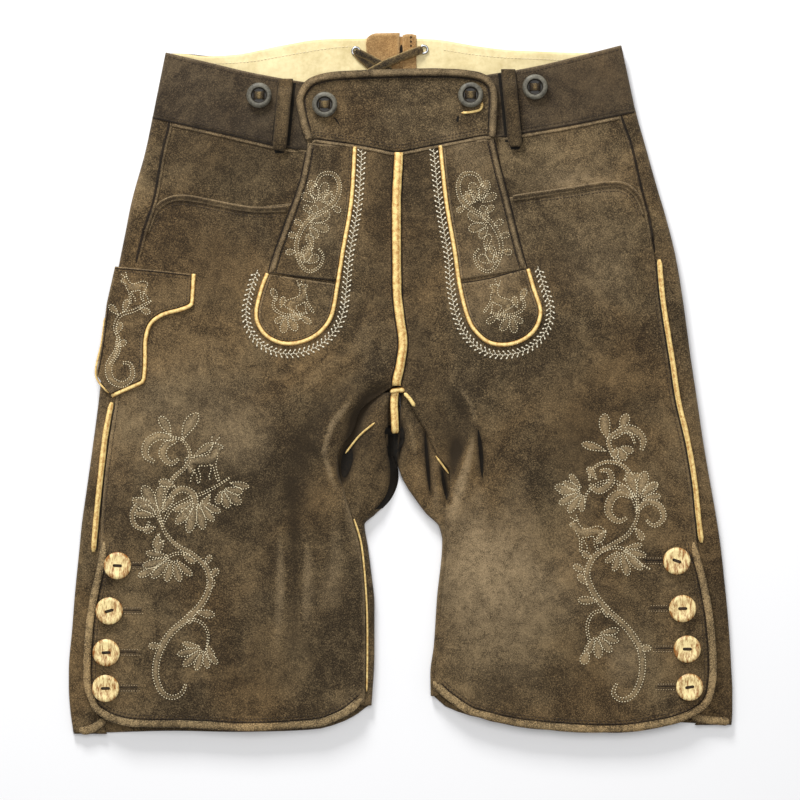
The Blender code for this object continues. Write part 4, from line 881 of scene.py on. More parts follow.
def leg_grid(side):
    """Leg of a front panel, from the end of the slit to the hem."""
    inward = INWARD[side]
    rows = FRONT_ROWS[side]
    grid = []
    for n in range(LEG_ROWS + 1):
        j = (len(rows) - 1) * n / LEG_ROWS
        outer_y, inner_y = at_row(rows, "outer", j), at_row(rows, "inner", j)
        outer_x = seam_x(side, outer_y)
        if inner_y > INNERS[side][0].y:
            inner_x = centre_x(inner_y) - inward * SEAM_GAP / 2
        else:
            inner_x = at_level(INNERS[side], "seam", inner_y)
        weight = max(0.0, (j - FRONT_HEM_ROW) / (len(rows) - 1 - FRONT_HEM_ROW))
        line = []
        for i in range(LEG_COLUMNS + 1):
            share = i / LEG_COLUMNS
            share = share / 0.5 * SLIT_SHARE[side] if share <= 0.5 else (
                SLIT_SHARE[side] + (share - 0.5) / 0.5 * (1 - SLIT_SHARE[side]))
            x = outer_x + (inner_x - outer_x) * share
            y = outer_y + (inner_y - outer_y) * share + dip_at(FRONT_HEM[side], share) * weight
            line.append((x, y, top_height(side, x, y)))
        grid.append(line)
    return grid


# %% The grids above the leg's top row
def pocket_grid(side, first):
    """Facing of the pocket, from the leg's top row up to the pocket opening."""
    inward = INWARD[side]
    edge_line = smooth_line(POCKET_EDGE[side], 3)
    slit_line = smooth_line(FLAP_EDGE[side], 3)
    count = len(first) - 1
    corner = round(count * POCKET_CORNER)
    grid = [first]
    for n in range(1, POCKET_ROWS + 1):
        level = n / POCKET_ROWS
        near = along(slit_line, 1 - SLIT_BY_POCKET * level)
        gap = inward * SLIT_GAP * min(1.0, level / SLIT_OPENS)
        line = []
        for k in range(count + 1):
            start = first[min(k, corner)]
            edge = along(edge_line, min(k, corner) / count)
            x = start[0] + (edge.x - start[0]) * level
            y = start[1] + (edge.y - start[1]) * level
            if k > corner:
                share = (k - corner) / (count - corner)
                x += (near.x - gap - x) * share
                y += (near.y - y) * share
            line.append((x, y, top_height(side, x, y)))
        grid.append(line)
    return grid


def flap_grid(side, first):
    """Half of the drop flap, from the leg's top row up to the bib."""
    inward = INWARD[side]
    slit_line = smooth_line(FLAP_EDGE[side], 3)
    bib_line = smooth_line(BIB_BOTTOM, 3)
    middle = min(range(len(bib_line)), key=lambda k: abs(bib_line[k].x - BIB_BOTTOM[5].x))
    bib_half = bib_line[:middle + 1] if side == "r" else bib_line[:middle - 1:-1]
    count = len(first) - 1
    grid = [first]
    for n in range(1, FLAP_ROWS + 1):
        level = n / FLAP_ROWS
        edge = along(slit_line, 1 - level)
        line = []
        for k in range(count + 1):
            share = k / count
            high = along(bib_half, share)
            inner_y = first[-1][1] + (high.y - first[-1][1]) * level
            x = edge.x + (centre_x(inner_y) - edge.x) * share
            y = edge.y + (inner_y - edge.y) * share
            end = max(0.0, (level - BIB_TAKES_OVER) / 0.3)
            x += (high.x - x) * end * (1 - share)
            y += (high.y - SEAM_GAP - y) * end ** 2
            x -= inward * SEAM_GAP / 2 * share ** 8
            lift = FLAP_LIFT * min(1.0, level / FLAP_LIFTED)
            line.append((x, y, top_height(side, x, y) + lift))
        grid.append(line)
    return grid


# %% Front panels
front_panels = {}
for side in BOTH:
    leg = leg_grid(side)
    half = LEG_COLUMNS // 2
    grids = [leg, pocket_grid(side, leg[0][:half + 1])[::-1], flap_grid(side, leg[0][half:])[::-1]]
    front_panels[side] = sheet(f"leg_front_{side}", grids, LEATHER, SUEDE, side == "r",
                               sides=("lrb" if side == "r" else "lb", "t", "t"))
    stand_for(front_panels[side], "suede", f"front_panel_{side}")
print("front panel points:", len(front_panels["r"].data.vertices))

# %% [markdown]
# ## Back panels, hips and waistband
# The back is plain where it lies on the table. At the side it rolls up in a half round and runs
# to the side seam on top; at the inner leg it does the same up to the inseam, which is why the
# soft folds between the legs belong to it. The rows of the grid follow the same level numbers as
# the pattern, only closer together, and whole-number rows become a running value.

# %% A line across the back
BACK_STEPS = ((0.0, 8.0, 50), (8.0, 18.0, 110), (18.0, 23.0, 40))
BACK_FLAT, BACK_TURN, BACK_LAP = 18, 12, 8
THIGH_TURN, THIGH_LAP = 12, 40
THIGH_LIFT = 3.4
BACK_FLAT_SHARES = [0.75 * k / BACK_FLAT for k in range(BACK_FLAT + 1)]
SEAM_LAP, UNDER_FRONT_FROM = 3.3, 126  # the back runs under the front panel from this level down


def back_line(side, j):
    """One line across the back: flat, round the side fold and on to the side seam."""
    inward = INWARD[side]
    rows = BACK_ROWS[side]
    y_fold, y_inner = at_row(rows, "outer", j), at_row(rows, "inner", j)
    radius = side_radius(y_fold)
    fold = fold_x(side, y_fold)
    closed = -inward * SEAM_GAP / 2
    under = at_level(INNERS[side], "under", y_inner) - inward * inner_radius(y_inner) * 0.5
    inner_x = closed + (under - closed) * held(j - CROTCH_ROW + 1)
    start = fold + inward * radius
    weight = max(0.0, (j - BACK_HEM_ROW) / (len(rows) - 1 - BACK_HEM_ROW))
    line = []
    for share in BACK_FLAT_SHARES:
        x = inner_x + (start - inner_x) * share
        y = y_inner + (y_fold - y_inner) * share
        line.append((x, y + dip_at(BACK_HEM[side], 1 - share) * weight, 0.0))
    slope = BAND_SLOPE * fade(j, 4)
    for k in range(BACK_TURN + 1):
        angle = math.radians(-90 + 180 * k / BACK_TURN)
        x = fold + inward * radius * (1 - math.cos(angle))
        z = radius * (1 + math.sin(angle))
        fall = slope * abs(x - fold) * min(1.0, max(0.0, z / radius - 1) * 3)
        line.append((x, y_fold - fall, z))
    near = seam_x(side, y_fold)
    edge = seam_x(side, y_fold - slope * abs(near - fold))
    under_front = held((UNDER_FRONT_FROM - y_fold) / 8)
    lapped = edge + inward * (SEAM_LAP * under_front - SEAM_GAP)
    x0, y0, z0 = line[-1]
    for k in range(1, BACK_LAP + 1):
        share = k / BACK_LAP
        x = x0 + (lapped - x0) * share
        y = y_fold - slope * abs(x - fold)
        line.append((x, y, z0 + (level_height(side, x, y) - LAP - z0) * share))
    return line


# %% A line round the inner leg
def thigh_line(side, j, low):
    """One line of the back's inner part: round the inner leg and on to the inseam."""
    inward = INWARD[side]
    y = at_row(BACK_ROWS[side], "inner", j)
    radius = inner_radius(y)
    turn = at_level(INNERS[side], "turn", y)
    seam = at_level(INNERS[side], "seam", y)
    under = at_level(INNERS[side], "under", y)
    hang = held(CROTCH_ROW - j)
    base = THIGH_LIFT * hang
    line = [(low[0] + (turn - inward * 2 - low[0]) * hang, y, base)]
    for k in range(1, THIGH_TURN + 1):
        angle = math.radians(-90 + 170 * k / THIGH_TURN)
        rise, out = math.sin(angle), math.cos(angle)
        edge = turn * hang + (under * (1 - rise) / 2 + turn * (1 + rise) / 2) * (1 - hang)
        z = base + (2 * radius - base) * (1 + rise) / 2
        line.append((edge - inward * radius * 0.5 * (1 - out), y, z))
    x0, _, z0 = line[-1]
    lapped = seam - inward * 3.0
    for k in range(1, THIGH_LAP + 1):
        share = k / THIGH_LAP
        x = x0 + (lapped - x0) * share
        z = z0 + (level_height(side, x, y) - LAP - z0) * min(1.0, share * 1.4)
        z += crease_sum(THIGH_CREASES, x, y) * (1 - share ** 3)
        line.append((x, y, max(z, LEATHER + REST_GAP)))
    return line


# %% Back panels
back_panels = {}
for side in BOTH:
    stations = [low + (high - low) * n / count for low, high, count in BACK_STEPS
                for n in range(count)] + [BACK_STEPS[-1][1]]
    main = [back_line(side, j) for j in stations]
    thigh = [thigh_line(side, j, main[n][0])[::-1]
             for n, j in enumerate(stations) if j >= THIGH_ROW]
    back_panels[side] = sheet(f"leg_back_{side}", [main, thigh], LEATHER, SUEDE, side == "r",
                              edge=0.0)
    stand_for(back_panels[side], "suede", f"back_panel_{side}")
so_far("back panels")

# %% Hip pieces behind the pocket openings
def ruled(top, bottom, rows, columns, closer=1.0):
    """Points (x, y) of a grid between two lines; a power above 1 gathers them at the start."""
    shares = [(k / columns) ** closer for k in range(columns + 1)]
    ends = [(along(top, share), along(bottom, share)) for share in shares]
    return [[between(a, b, j / rows) for a, b in ends] for j in range(rows + 1)]


def ruled_down(left, right, rows, columns):
    """The same between two lines that run down the sides of the grid."""
    return [list(row) for row in zip(*ruled(left, right, columns, rows))]


def raised(grid, height):
    """Grid of points (x, y) lifted to their heights."""
    return [[(x, y, height(x, y)) for x, y in row] for row in grid]


HIP_ROWS, HIP_COLUMNS, HIP_DRAWN = 30, 46, 6
hips = {}
for side, inward in INWARD.items():
    grid = []
    low_y = HIP_BOTTOM[side][0].y
    for line in ruled(smooth_line(HIP_TOP[side], 3), smooth_line(HIP_BOTTOM[side], 3), HIP_ROWS,
                      HIP_COLUMNS):
        x0, y0 = line[0]
        edge = (seam_x(side, y0)
                + inward * (SEAM_GAP + 4.0 * fade(y0 - low_y, 22)))
        grid.append([(x + (edge - x0) * max(0.0, 1 - k / HIP_DRAWN), y)
                     for k, (x, y) in enumerate(line)])
    grid = raised(grid, lambda x, y: level_height(side, x, y) - LAP)
    hips[side] = stand_for(sheet(f"hip_{side}", [grid], LEATHER, SUEDE, side == "r"), "suede",
                           f"hip_piece_{side}")
so_far("hip pieces")

# %% Front waistband, rounding down at the side fold
def band_height(side, x, y):
    radius = side_radius(y) + 0.25
    depth = abs(x - fold_x(side, y))
    flat = level_height(side, x, y) - LAP + 0.5
    if depth >= radius:
        return flat
    return min(flat, radius + math.sqrt(max(0.0, radius ** 2 - (radius - depth) ** 2)))


BAND_ROWS, BAND_COLUMNS = 24, 60
CLOSER_AT_FOLD = 1.35
bands = {}
for side in BOTH:
    grid = ruled(smooth_line(BAND_TOP[side], 2), smooth_line(BAND_BOTTOM[side], 2), BAND_ROWS,
                 BAND_COLUMNS, CLOSER_AT_FOLD)
    bands[side] = sheet(f"band_front_{side}", [raised(grid, partial(band_height, side))],
                        BAND_WALL, BAND_SUEDE, side == "r")
    stand_for(bands[side], "band_suede", f"waistband_front_{side}")
so_far("front bands")

# %% The grid of the back waistband
BackBand = namedtuple("BackBand", "inset low stop")
BACK_BAND = BackBand(0.0, 231.4, -32)
BACK_LINING = BackBand(BACK_BAND_WALL + SEAM_GAP, 233.0, -45)
ROUND_THE_SIDE = 6                    # steps round the side fold
BAND_SIDE_LOW = {"r": 226.0, "l": 231.0}
NOTCH = {
    "r": path_of(-27.5, 288, -25, 262, -23, 236),
    "l": path_of(13.2, 288, 13.2, 262, 13.2, 236),
}


def back_band_grid(side, band, rows, columns):
    """Rows of the back waistband, drawn in by an inset from its outer face."""
    inward = INWARD[side]
    top = smooth_line(BACK_TOP[side], 3)
    grid = []
    for j in range(rows + 1):
        level = j / rows
        side_y = top[0].y + (BAND_SIDE_LOW[side] - top[0].y) * level
        radius = side_radius(side_y) - band.inset
        fold = fold_x(side, side_y) + inward * band.inset
        line = []
        for k in range(ROUND_THE_SIDE + 1):
            angle = math.radians(band.stop + (-90 - band.stop) * k / ROUND_THE_SIDE)
            line.append((fold + inward * radius * (1 - math.cos(angle)), side_y,
                         radius * (1 + math.sin(angle)) + band.inset))
        start = line[-1][0]
        for k in range(1, columns + 1):
            high = along(top, k / columns)
            low = band.low + (BAND_SIDE_LOW[side] - band.low) * abs(high.x / top[0].x)
            x = start + (top[-1].x - start) * k / columns
            line.append((x, high.y + (low - high.y) * level, band.inset))
        grid.append(line)
    return grid


# %% Both layers of the back waistband
def lining_wrinkle(x, y):
    """Low soft wrinkles of the lining, always upwards from where it lies."""
    wave = drift(x / 30, y / 11, 5.5)
    wave += 0.5 * drift(x / 11, y / 7, 2)
    return max(0.0, wave) * 0.9


back_bands, linings = {}, {}
for side in BOTH:
    grid = back_band_grid(side, BACK_BAND, 8, 30)
    back_bands[side] = sheet(f"band_back_{side}", [grid], BACK_BAND_WALL, BAND_SUEDE, side == "l",
                             edge=0.0)
    stand_for(back_bands[side], "band_suede", f"waistband_back_{side}")
    grid = back_band_grid(side, BACK_LINING, BAND_ROWS, BAND_COLUMNS)
    notch_line = smooth_line(NOTCH[side], 2)
    for j, line in enumerate(grid):
        notch = along(notch_line, j / BAND_ROWS)
        start = line[ROUND_THE_SIDE][0]
        row = line[:ROUND_THE_SIDE + 1]
        for k in range(1, BAND_COLUMNS + 1):
            x = start + (notch.x - start) * k / BAND_COLUMNS
            high = line[ROUND_THE_SIDE + k]
            row.append((x, high[1], high[2] + lining_wrinkle(x, high[1]) * min(1, k / 8)))
        grid[j] = [(x, y - 0.3 * (1 - j / BAND_ROWS), z) for x, y, z in row]
    linings[side] = sheet(f"lining_{side}", [grid], LINING_WALL, LINING, side == "l",
                          wear_and_shade=unworn, edge=0.0)
    stand_for(linings[side], "lining", f"waistband_lining_{side}")
so_far("back bands")

# %% Bib at the top of the drop flap
BIB_ROWS, BIB_COLUMNS, BIB_LIFT = 25, 80, 1.5
grid = ruled(smooth_line(BIB_TOP, 2), smooth_line(BIB_BOTTOM, 2), BIB_ROWS, BIB_COLUMNS)
grid = raised(grid, lambda x, y: level_height("r" if x < 0 else "l", x, y) + BIB_LIFT)
bib = stand_for(sheet("bib", [grid], BAND_WALL, SUEDE, True), "suede", "bib_band")
so_far("bib")

# %% [markdown]
# ## Strips, rolls and piping
# Everything sewn on top follows the panels below it. A ray dropped from above finds the height of
# the leather at any place, and a strip is then drawn along its line as a row of half-round
# sections. The heights are smoothed along the line first, as a strip of leather bridges the small
# hollows that a ray would fall into.

# %% Finding the top of the pieces already made
def surfaces(*objs):
    """Trees for finding the top of finished pieces."""
    bpy.context.view_layer.update()
    graph = bpy.context.evaluated_depsgraph_get()
    return [BVHTree.FromObject(obj, graph) for obj in objs]


def top_of(trees, x, y, fallback=0.0):
    """Height in mm of the highest face under a point of the table."""
    start = to_frame((x, y, 200.0))
    hits = [tree.ray_cast(start, Vector((0, 0, -1)))[0] for tree in trees]
    found = [hit.z / MM for hit in hits if hit is not None]
    return max(found) if found else fallback


def highest(trees, x, y, steps):
    """Highest leather on a small square round a place."""
    return max(top_of(trees, x + dx, y + dy) for dx in steps for dy in steps)


def smooth_values(values, rounds=2):
    """Values with their small bumps bridged, never below the values given."""
    out = list(values)
    for _ in range(rounds):
        near = zip([out[0], *out], out, [*out[1:], out[-1]])
        out = [max(v, (a + b + v) / 3) for a, v, b in near]
    return out


# %% Half-round strips
def shifted(shade, by):
    """The same wear and painted light across a strip, made lighter or darker all over."""
    return [v + by for v in shade]


Rib = namedtuple("Rib", "width height")
SECTION = [(-math.cos(math.pi * k / 8), math.sin(math.pi * k / 8) ** 0.7) for k in range(9)]


def strip_mesh(name, path, size, floors, material, shade=None, end_taper=0.0, wobble=0.0):
    """Half-round strip on known floor heights; shade gives the wear and the painted light and shade
    across its section.
    """
    verts, wear_and_shade = [], []
    count = len(path)
    for n, (point, run) in enumerate(with_run(path)):
        near_end = min(n, count - 1 - n)
        grow = 1.0 if near_end >= 2 or not end_taper else 1 - end_taper * (1 - near_end / 2)
        swell = wobble * drift(point.x / 14, point.y / 14, len(name))
        half = size.width / 2 * grow * (1 + swell)
        for k, (out, rise) in enumerate(SECTION):
            verts.append((point.x - run.y * half * out, point.y + run.x * half * out,
                          floors[n] + size.height * rise * grow * (1 + swell)))
            wear_and_shade.append(shade[k] if shade else 0.0)
    return mesh_object(name, verts, tube_faces(count, len(SECTION)), material, wear_and_shade)


def floor_heights(path, width, trees, lift):
    """Smoothed height of the leather under a strip, its edges included."""
    floors, last = [], 0.0
    for point, run in with_run(path):
        spots = [(point.x - run.y * width / 2 * k, point.y + run.x * width / 2 * k)
                 for k in (-1, -0.5, 0, 0.5, 1)]
        last = max(top_of(trees, x, y, last) for x, y in spots)
        floors.append(last + lift)
    return smooth_values(floors)


# %% Strips and panels on top of others
def rib(name, path, size, trees, material, slot, *nodes, lift=REST_GAP, base=None, **looks):
    """Strip that follows a path over the pieces below it, or lies on a level base."""
    floors = ([base] * len(path) if base is not None
              else floor_heights(path, size.width, trees, lift))
    return stand_for(strip_mesh(name, path, size, floors, material, **looks), slot, *nodes)


def lay(name, grid, wall, trees, material, reach):
    """Sheet through a grid of (x, y) points, resting on all the leather within its reach."""
    count, across = len(grid), len(grid[0])
    heights = [[highest(trees, x, y, (-reach, 0, reach)) for x, y in row] for row in grid]
    for _ in range(3):
        last = heights
        heights = [[max(last[j][i], (last[max(j - 1, 0)][i] + last[min(j + 1, count - 1)][i]
                                     + last[j][max(i - 1, 0)]
                                     + last[j][min(i + 1, across - 1)]) / 4)
                    for i in range(across)] for j in range(count)]
    placed = [[(x, y, high + REST_GAP + wall) for (x, y), high in zip(row, line)]
              for row, line in zip(grid, heights)]
    return sheet(name, [placed], wall, material, True)


# %% Straps, tongues and their piping
# Values across a strip: PIPED paints shade on both flanks of the piping, more on one side; FOLDED
# gives the stripes of a folded strip.
PIPED = (0.8, 0.6, 0.2, -0.15, -0.2, -0.1, 0.25, 0.5, 0.7)
FOLDED = (0.9, 0.5, -0.05, -0.2, 0.0, 0.45, -0.05, -0.2, 0.6)
PIPED_BACK = PIPED[::-1]
STRAP_RIB = Rib(3.6, 2.1)
STRAP_WALL, STRAP_REACH, KNIFE_REACH = 1.4, 2.0, 8.0
straps, tongues, strap_pipings = {}, {}, {}


def laid_between(side, outer, inner, rows, columns):
    """Grid from the outer to the inner line of a side, always from the wearer's right."""
    lines = [smooth_line(line, 3) for line in (outer, inner)]
    return ruled_down(*(lines if side == "r" else lines[::-1]), rows, columns)


for side, turn in INWARD.items():
    trees = surfaces(front_panels[side])
    flap = list(FLAP_EDGE[side])
    flap[-1] = Point(flap[-1].x, flap[-1].y + 1.0)
    grid = laid_between(side, flap, STRAP_INNER[side], 56, 22)
    straps[side] = lay(f"embroidered_strap_{side}", grid, STRAP_WALL, trees, SUEDE, STRAP_REACH)
    stand_for(straps[side], "suede", f"strap_{side}")
    tongue = TONGUE[side]
    low = tongue[6]
    outer = [*tongue[:6], Point(low.x - turn * 1.0, low.y + 0.1)]
    near = [*tongue[:6:-1], Point(low.x + turn * 1.0, low.y + 0.1)]
    grid = laid_between(side, outer, near, 40, 28)
    tongues[side] = lay(f"tongue_{side}", grid, STRAP_WALL, trees, SUEDE, STRAP_REACH)
    stand_for(tongues[side], "suede", f"strap_tongue_{side}")
    run = smooth_line([*STRAP_INNER[side][:3], *tongue[::-1]], 2.0)
    path = inset_path(run, turn * (STRAP_RIB.width / 2 + 0.4))
    strap_pipings[side] = rib(f"piped_tongue_{side}", path, STRAP_RIB, trees, PIPING, "piping",
                              f"strap_piping_{side}", wobble=0.06,
                              shade=PIPED if side == "r" else PIPED_BACK)
so_far("straps and tongues")

# %% Rolled edges of vents, hems and pockets
# ROLLED paints a highlight on the crown of a roll and shade on its flanks, with some rub.
ROLLED = (-0.3, -0.1, 0.1, 0.26, 0.34, 0.26, 0.1, -0.1, -0.3)
HEM_ROLL, POCKET_ROLL, BIB_ROLL = Rib(6.4, 1.9), Rib(5.2, 1.7), Rib(6.4, 2.4)
CORNER_ROLL = Rib(7.0, 2.2)
VENT_TOP = -130
BACK_CORNER = {
    "r": path_of(-270, -290, -265, -291.2, -259.5, -289.8, -254, -286.4, -248.5, -282),
    "l": path_of(277, -283.8, 270.5, -283.3, 262, -282.4, 253, -281, 246, -279.6),
}


def front_edge(side):
    """Line of the vent's edge and the hem of a front panel."""
    rows = FRONT_ROWS[side]
    last = rows[-1]
    outer_x = seam_x(side, last.outer)
    inner_x = at_level(INNERS[side], "seam", last.inner)
    vent = [Point(seam_x(side, y), y)
            for y in range(VENT_TOP - 2, round(last.outer), -4)]
    hem = [Point(outer_x + (inner_x - outer_x) * k / 90,
                 last.outer + (last.inner - last.outer) * k / 90
                 + dip_at(FRONT_HEM[side], k / 90)) for k in range(1, 91)]
    return vent + hem


hem_rolls, pocket_rolls = {}, {}
front_edges = {side: front_edge(side) for side in BOTH}
for side, turn in INWARD.items():
    trees = surfaces(front_panels[side])
    path = inset_path(front_edges[side], turn * (HEM_ROLL.width / 2 - 0.2))
    if side == "l":
        path += [Point(29.6, -252.8), Point(28.6, -249)]
    hem_rolls[side] = rib(f"rolled_hem_{side}", path, HEM_ROLL, trees, ROLL_SUEDE, "suede",
                          f"hem_roll_front_{side}", lift=0.1, shade=ROLLED, end_taper=0.7,
                          wobble=0.14)
    # The pocket roll gets painted light and shade across it: pale bands, a dark line between them
    # and a dark outer edge.
    pocket_line = inset_path(smooth_line(POCKET_EDGE[side], 2.5), -turn * 2.6)
    pocket_rolls[side] = rib(f"rolled_pocket_{side}", pocket_line[:-2], POCKET_ROLL, trees,
                             SUEDE, "suede", f"pocket_roll_{side}", lift=0.1, wobble=0.1,
                             shade=(0.42, 0.5, 0.24, -0.1, -0.7, -0.1, 0.34, 0.16, -0.5))
    last_row = back_line(side, len(BACK_ROWS[side]) - 1)
    flat = smooth_line([Point(x, y + HEM_ROLL.width / 2 + 0.4)
                        for x, y, _ in last_row[1:BACK_FLAT + 1]], 4)
    # The flat back hem is painted darker as shade; the corner roll below is made a little lighter.
    rib(f"rolled_back_hem_{side}", flat, HEM_ROLL, [], SUEDE, "suede", f"hem_roll_back_{side}",
        base=LEATHER + 0.1, shade=shifted(ROLLED, -0.3), wobble=0.14)
    rib(f"rolled_corner_{side}", smooth_line(BACK_CORNER[side], 1.5), CORNER_ROLL,
        surfaces(back_panels[side]), ROLL_SUEDE, "suede", lift=0.1, end_taper=0.5, wobble=0.14,
        shade=shifted(ROLLED, 0.12))
# The bib rim gets painted shade on both flanks and a painted highlight on its crown.
bib_line = inset_path(smooth_line((Point(-78.5, 204), Point(-82, 214), *BIB_TOP,
                                   Point(80.5, 215), Point(80, 207)), 2), -2.9)
bib_rim = rib("rolled_bib", bib_line, BIB_ROLL, surfaces(bib), SUEDE, "suede", "bib_roll",
              lift=0.1, shade=(-0.5, -0.1, 0.12, 0.26, 0.3, 0.22, 0.1, -0.1, -0.5), wobble=0.08)
so_far("rolled edges")

# %% Piping of the seams
SIDE_PIPING = {
    "r": path_of(-242, -15, -246.5, -37, -249, -55, -253, -90, -255.5, -114, -258, -141),
    "l": path_of(
        217.5, 105, 220.5, 71, 228.5, 20, 233.5, -13, 241.5, -47, 247.5, -82, 250.5, -110,
        253.5, -133),
}
INSEAM_PIPING = path_of(-38.6, -113, -32, -137, -28, -184, -27.4, -226, -28, -258)
CROTCH_PIPING = {
    "r": path_of(-21, -32, -34, -43, -46, -58),
    "l": path_of(30, -60, 41, -75),
}
CROTCH_TAB = path_of(-3.5, -4, -5, -14, -4.5, -28, -4, -41)
CENTRE_RIB, CROTCH_RIB = Rib(7.6, 3.0), Rib(6.5, 2.6)
SIDE_RIB, THIN_RIB = Rib(5.0, 3.0), Rib(1.7, 1.1)
all_panels = surfaces(*front_panels.values(), *back_panels.values())
for side in BOTH:
    both = surfaces(front_panels[side], back_panels[side])
    rib(f"side_seam_piping_{side}", smooth_line(SIDE_PIPING[side], 3), SIDE_RIB, both, PIPING,
        "piping", f"side_piping_{side}", shade=FOLDED if side == "r" else FOLDED[::-1],
        end_taper=0.5, wobble=0.12)
    rib(f"crotch_seam_piping_{side}", smooth_line(CROTCH_PIPING[side], 2), THIN_RIB, both, PIPING,
        "piping", f"crotch_piping_{side}", end_taper=0.7)
centre_line = [Point(centre_x(y), y) for y in range(194, -2, -3)]
rib("centre_piping", centre_line, CENTRE_RIB, all_panels, PIPING, "piping", "front_piping",
    lift=0.9, shade=FOLDED, wobble=0.1)
rib("inseam_piping", smooth_line(INSEAM_PIPING, 3), THIN_RIB, surfaces(back_panels["r"]), PIPING,
    "piping", "inseam_piping_r", end_taper=0.5)
tab_line = smooth_line(CROTCH_TAB, 1.5)
tab_floors = [13.5 - 2.4 * max(0.0, (n / (len(tab_line) - 1) - 0.75) / 0.25) ** 2
              for n in range(len(tab_line))]
stand_for(strip_mesh("crotch_piping_end", tab_line, CROTCH_RIB, tab_floors, PIPING, shade=FOLDED,
                     end_taper=0.3, wobble=0.06), "piping", "crotch_tab")
so_far("piping")

# %% Knife pocket on the right leg
trees = surfaces(front_panels["r"], back_panels["r"])
pocket_left = [KNIFE_POCKET[0], *KNIFE_POCKET[:10:-1]]
pocket_right = [KNIFE_POCKET[2], *smooth_line(KNIFE_POCKET[3:10], 2), KNIFE_POCKET[10]]
knife = lay("knife_sheath", ruled_down(pocket_left, pocket_right, 52, 26), LEATHER, trees, SUEDE,
            KNIFE_REACH)
stand_for(knife, "suede", "knife_pocket")
knife_edge = inset_path([along([*pocket_right, KNIFE_POCKET[11]], j / 76) for j in range(77)],
                        STRAP_RIB.width / 2 + 0.6)
knife_piping = rib("knife_sheath_piping", knife_edge, STRAP_RIB, trees, PIPING, "piping",
                   "knife_pocket_piping", lift=0.8, shade=PIPED, wobble=0.08)
thin_line = smooth_line((Point(-244, -7), *KNIFE_POCKET[12:14], Point(-247.5, 56)), 2)
rib("knife_sheath_thin_piping", inset_path(thin_line, 0.4), Rib(1.8, 1.2), trees, PIPING,
    "piping", lift=1.4, end_taper=0.5)
so_far("knife pocket")

# %% Belt loops
BELT_LOOPS = {"r": path_of(-95.5, 256, -101, 196), "l": path_of(90.5, 264, 96.5, 199)}
Bow = namedtuple("Bow", "share rise")
LOOP_BOW = table(Bow,
    0, 0.45, 0.1, 0.45, 0.17, 2.6, 0.24, 4.8, 0.5, 5.4, 0.8, 5.0, 0.93, 3.9, 1, 2.6)
LOOP_ROWS, LOOP_HALF = 36, 6.0
belt_loops = {}
for side in BOTH:
    high, low = BELT_LOOPS[side]
    trees = surfaces(bands[side], hips[side])
    ground = max(top_of(trees, high.x + dx, y) for dx in (-6, 0, 6) for y in (206, 225, 245))
    grid = []
    for n in range(LOOP_ROWS + 1):
        share = n / LOOP_ROWS
        rise = blend_rows([b.share for b in LOOP_BOW], [b.rise for b in LOOP_BOW], share)
        x, y = between(high, low, share)
        half = LOOP_HALF - 1.4 * max(0.0, (share - 0.9) / 0.1) ** 2
        grid.append([(x + half * k / 6, y, ground + rise + LEATHER + 0.9 * (1 - (k / 6) ** 4) - 0.7)
                     for k in range(-6, 7)])

    # Belt loops are darker all over, with painted shade towards their rounded sides.
    def loop_darkening_and_side_shade(x, y):
        middle = high.x + (low.x - high.x) * (y - high.y) / (low.y - high.y)
        return -0.32 - 0.5 * abs((x - middle) / LOOP_HALF) ** 3

    belt_loops[side] = sheet(f"loop_for_belt_{side}", [grid], LEATHER, SUEDE, True, loop_darkening_and_side_shade,
                             edge=0.0)
    stand_for(belt_loops[side], "band_suede", f"belt_loop_{side}")
so_far("belt loops")

# %% Laced notch at the back of the waist
GUSSET_TOP = {
    "r": path_of(-28.8, 286, -27.6, 292.5, -22, 295.6, -0.2, 296),
    "l": path_of(2.2, 294, 6, 295, 10, 295, 13.8, 294),
}
GUSSET_FOOT = {"r": path_of(-25.2, 254, -1, 254), "l": path_of(2.5, 254, 13.8, 254)}
LACES = {
    "r": path_of(-37.6, 281, -33, 275, -26, 269, -17, 261.5),
    "l": path_of(19, 282, 8, 278, -10, 270.5, -24, 263, -32, 258),
}
LACE_RIB = Rib(7.0, 1.9)
LACE_HEIGHT = {"r": 5.0, "l": 7.5}
EYELETS = {"r": Point(-37, 280.5), "l": Point(20, 282)}
CUT_LACE = (0.9, 0.7, 0.15, 0.0, 0.0, 0.0, 0.15, 0.5, 0.8)
notch_tabs = {}


def gusset_height(x, y):
    wave = drift(x / 9, y / 12, 4)
    return BACK_BAND_WALL + 0.45 + LEATHER + 0.25 * max(0, wave)


for side in BOTH:
    grid = raised(ruled(GUSSET_TOP[side], GUSSET_FOOT[side], 16, 12), gusset_height)
    notch_tabs[side] = sheet(f"notch_tab_{side}", [grid], LEATHER, CAMEL, True, wear_and_shade=unworn,
                             edge=0.05)
    stand_for(notch_tabs[side], "camel", f"gusset_{side}")
    rib(f"leather_lace_{side}", smooth_line(LACES[side], 1.5), LACE_RIB, [], THONG, "thong",
        f"lace_{side}", base=LACE_HEIGHT[side], shade=CUT_LACE, end_taper=0.3, wobble=0.12)
BACKING = path_of(1, 293, 1, 274, 1, 256)
LACE_FOLD = path_of(-36, 279.5, -27, 275.5, -17, 270, -8, 264.5)
backing = rib("notch_backing", smooth_line(BACKING, 1.5), Rib(4.4, 0.5), [], CAMEL, "camel",
              base=BACK_BAND_WALL + 0.5)
rib("leather_lace_fold", smooth_line(LACE_FOLD, 1.5), Rib(6.4, 1.8), [], THONG, "thong",
    base=5.9, shade=CUT_LACE, end_taper=0.3, wobble=0.12)
so_far("laced notch")

# %% [markdown]
# ## Rims, seam lines and lips
# A seam shows as a narrow line of painted shade where two layers meet, with a low lip beside it
# where the leather is turned over the thread, painted with a highlight. The flap and its bib carry
# a stitched rim all round, painted lighter on its crown and darker on its flanks. Each of these is
# a slender strip laid on the piece it belongs to.

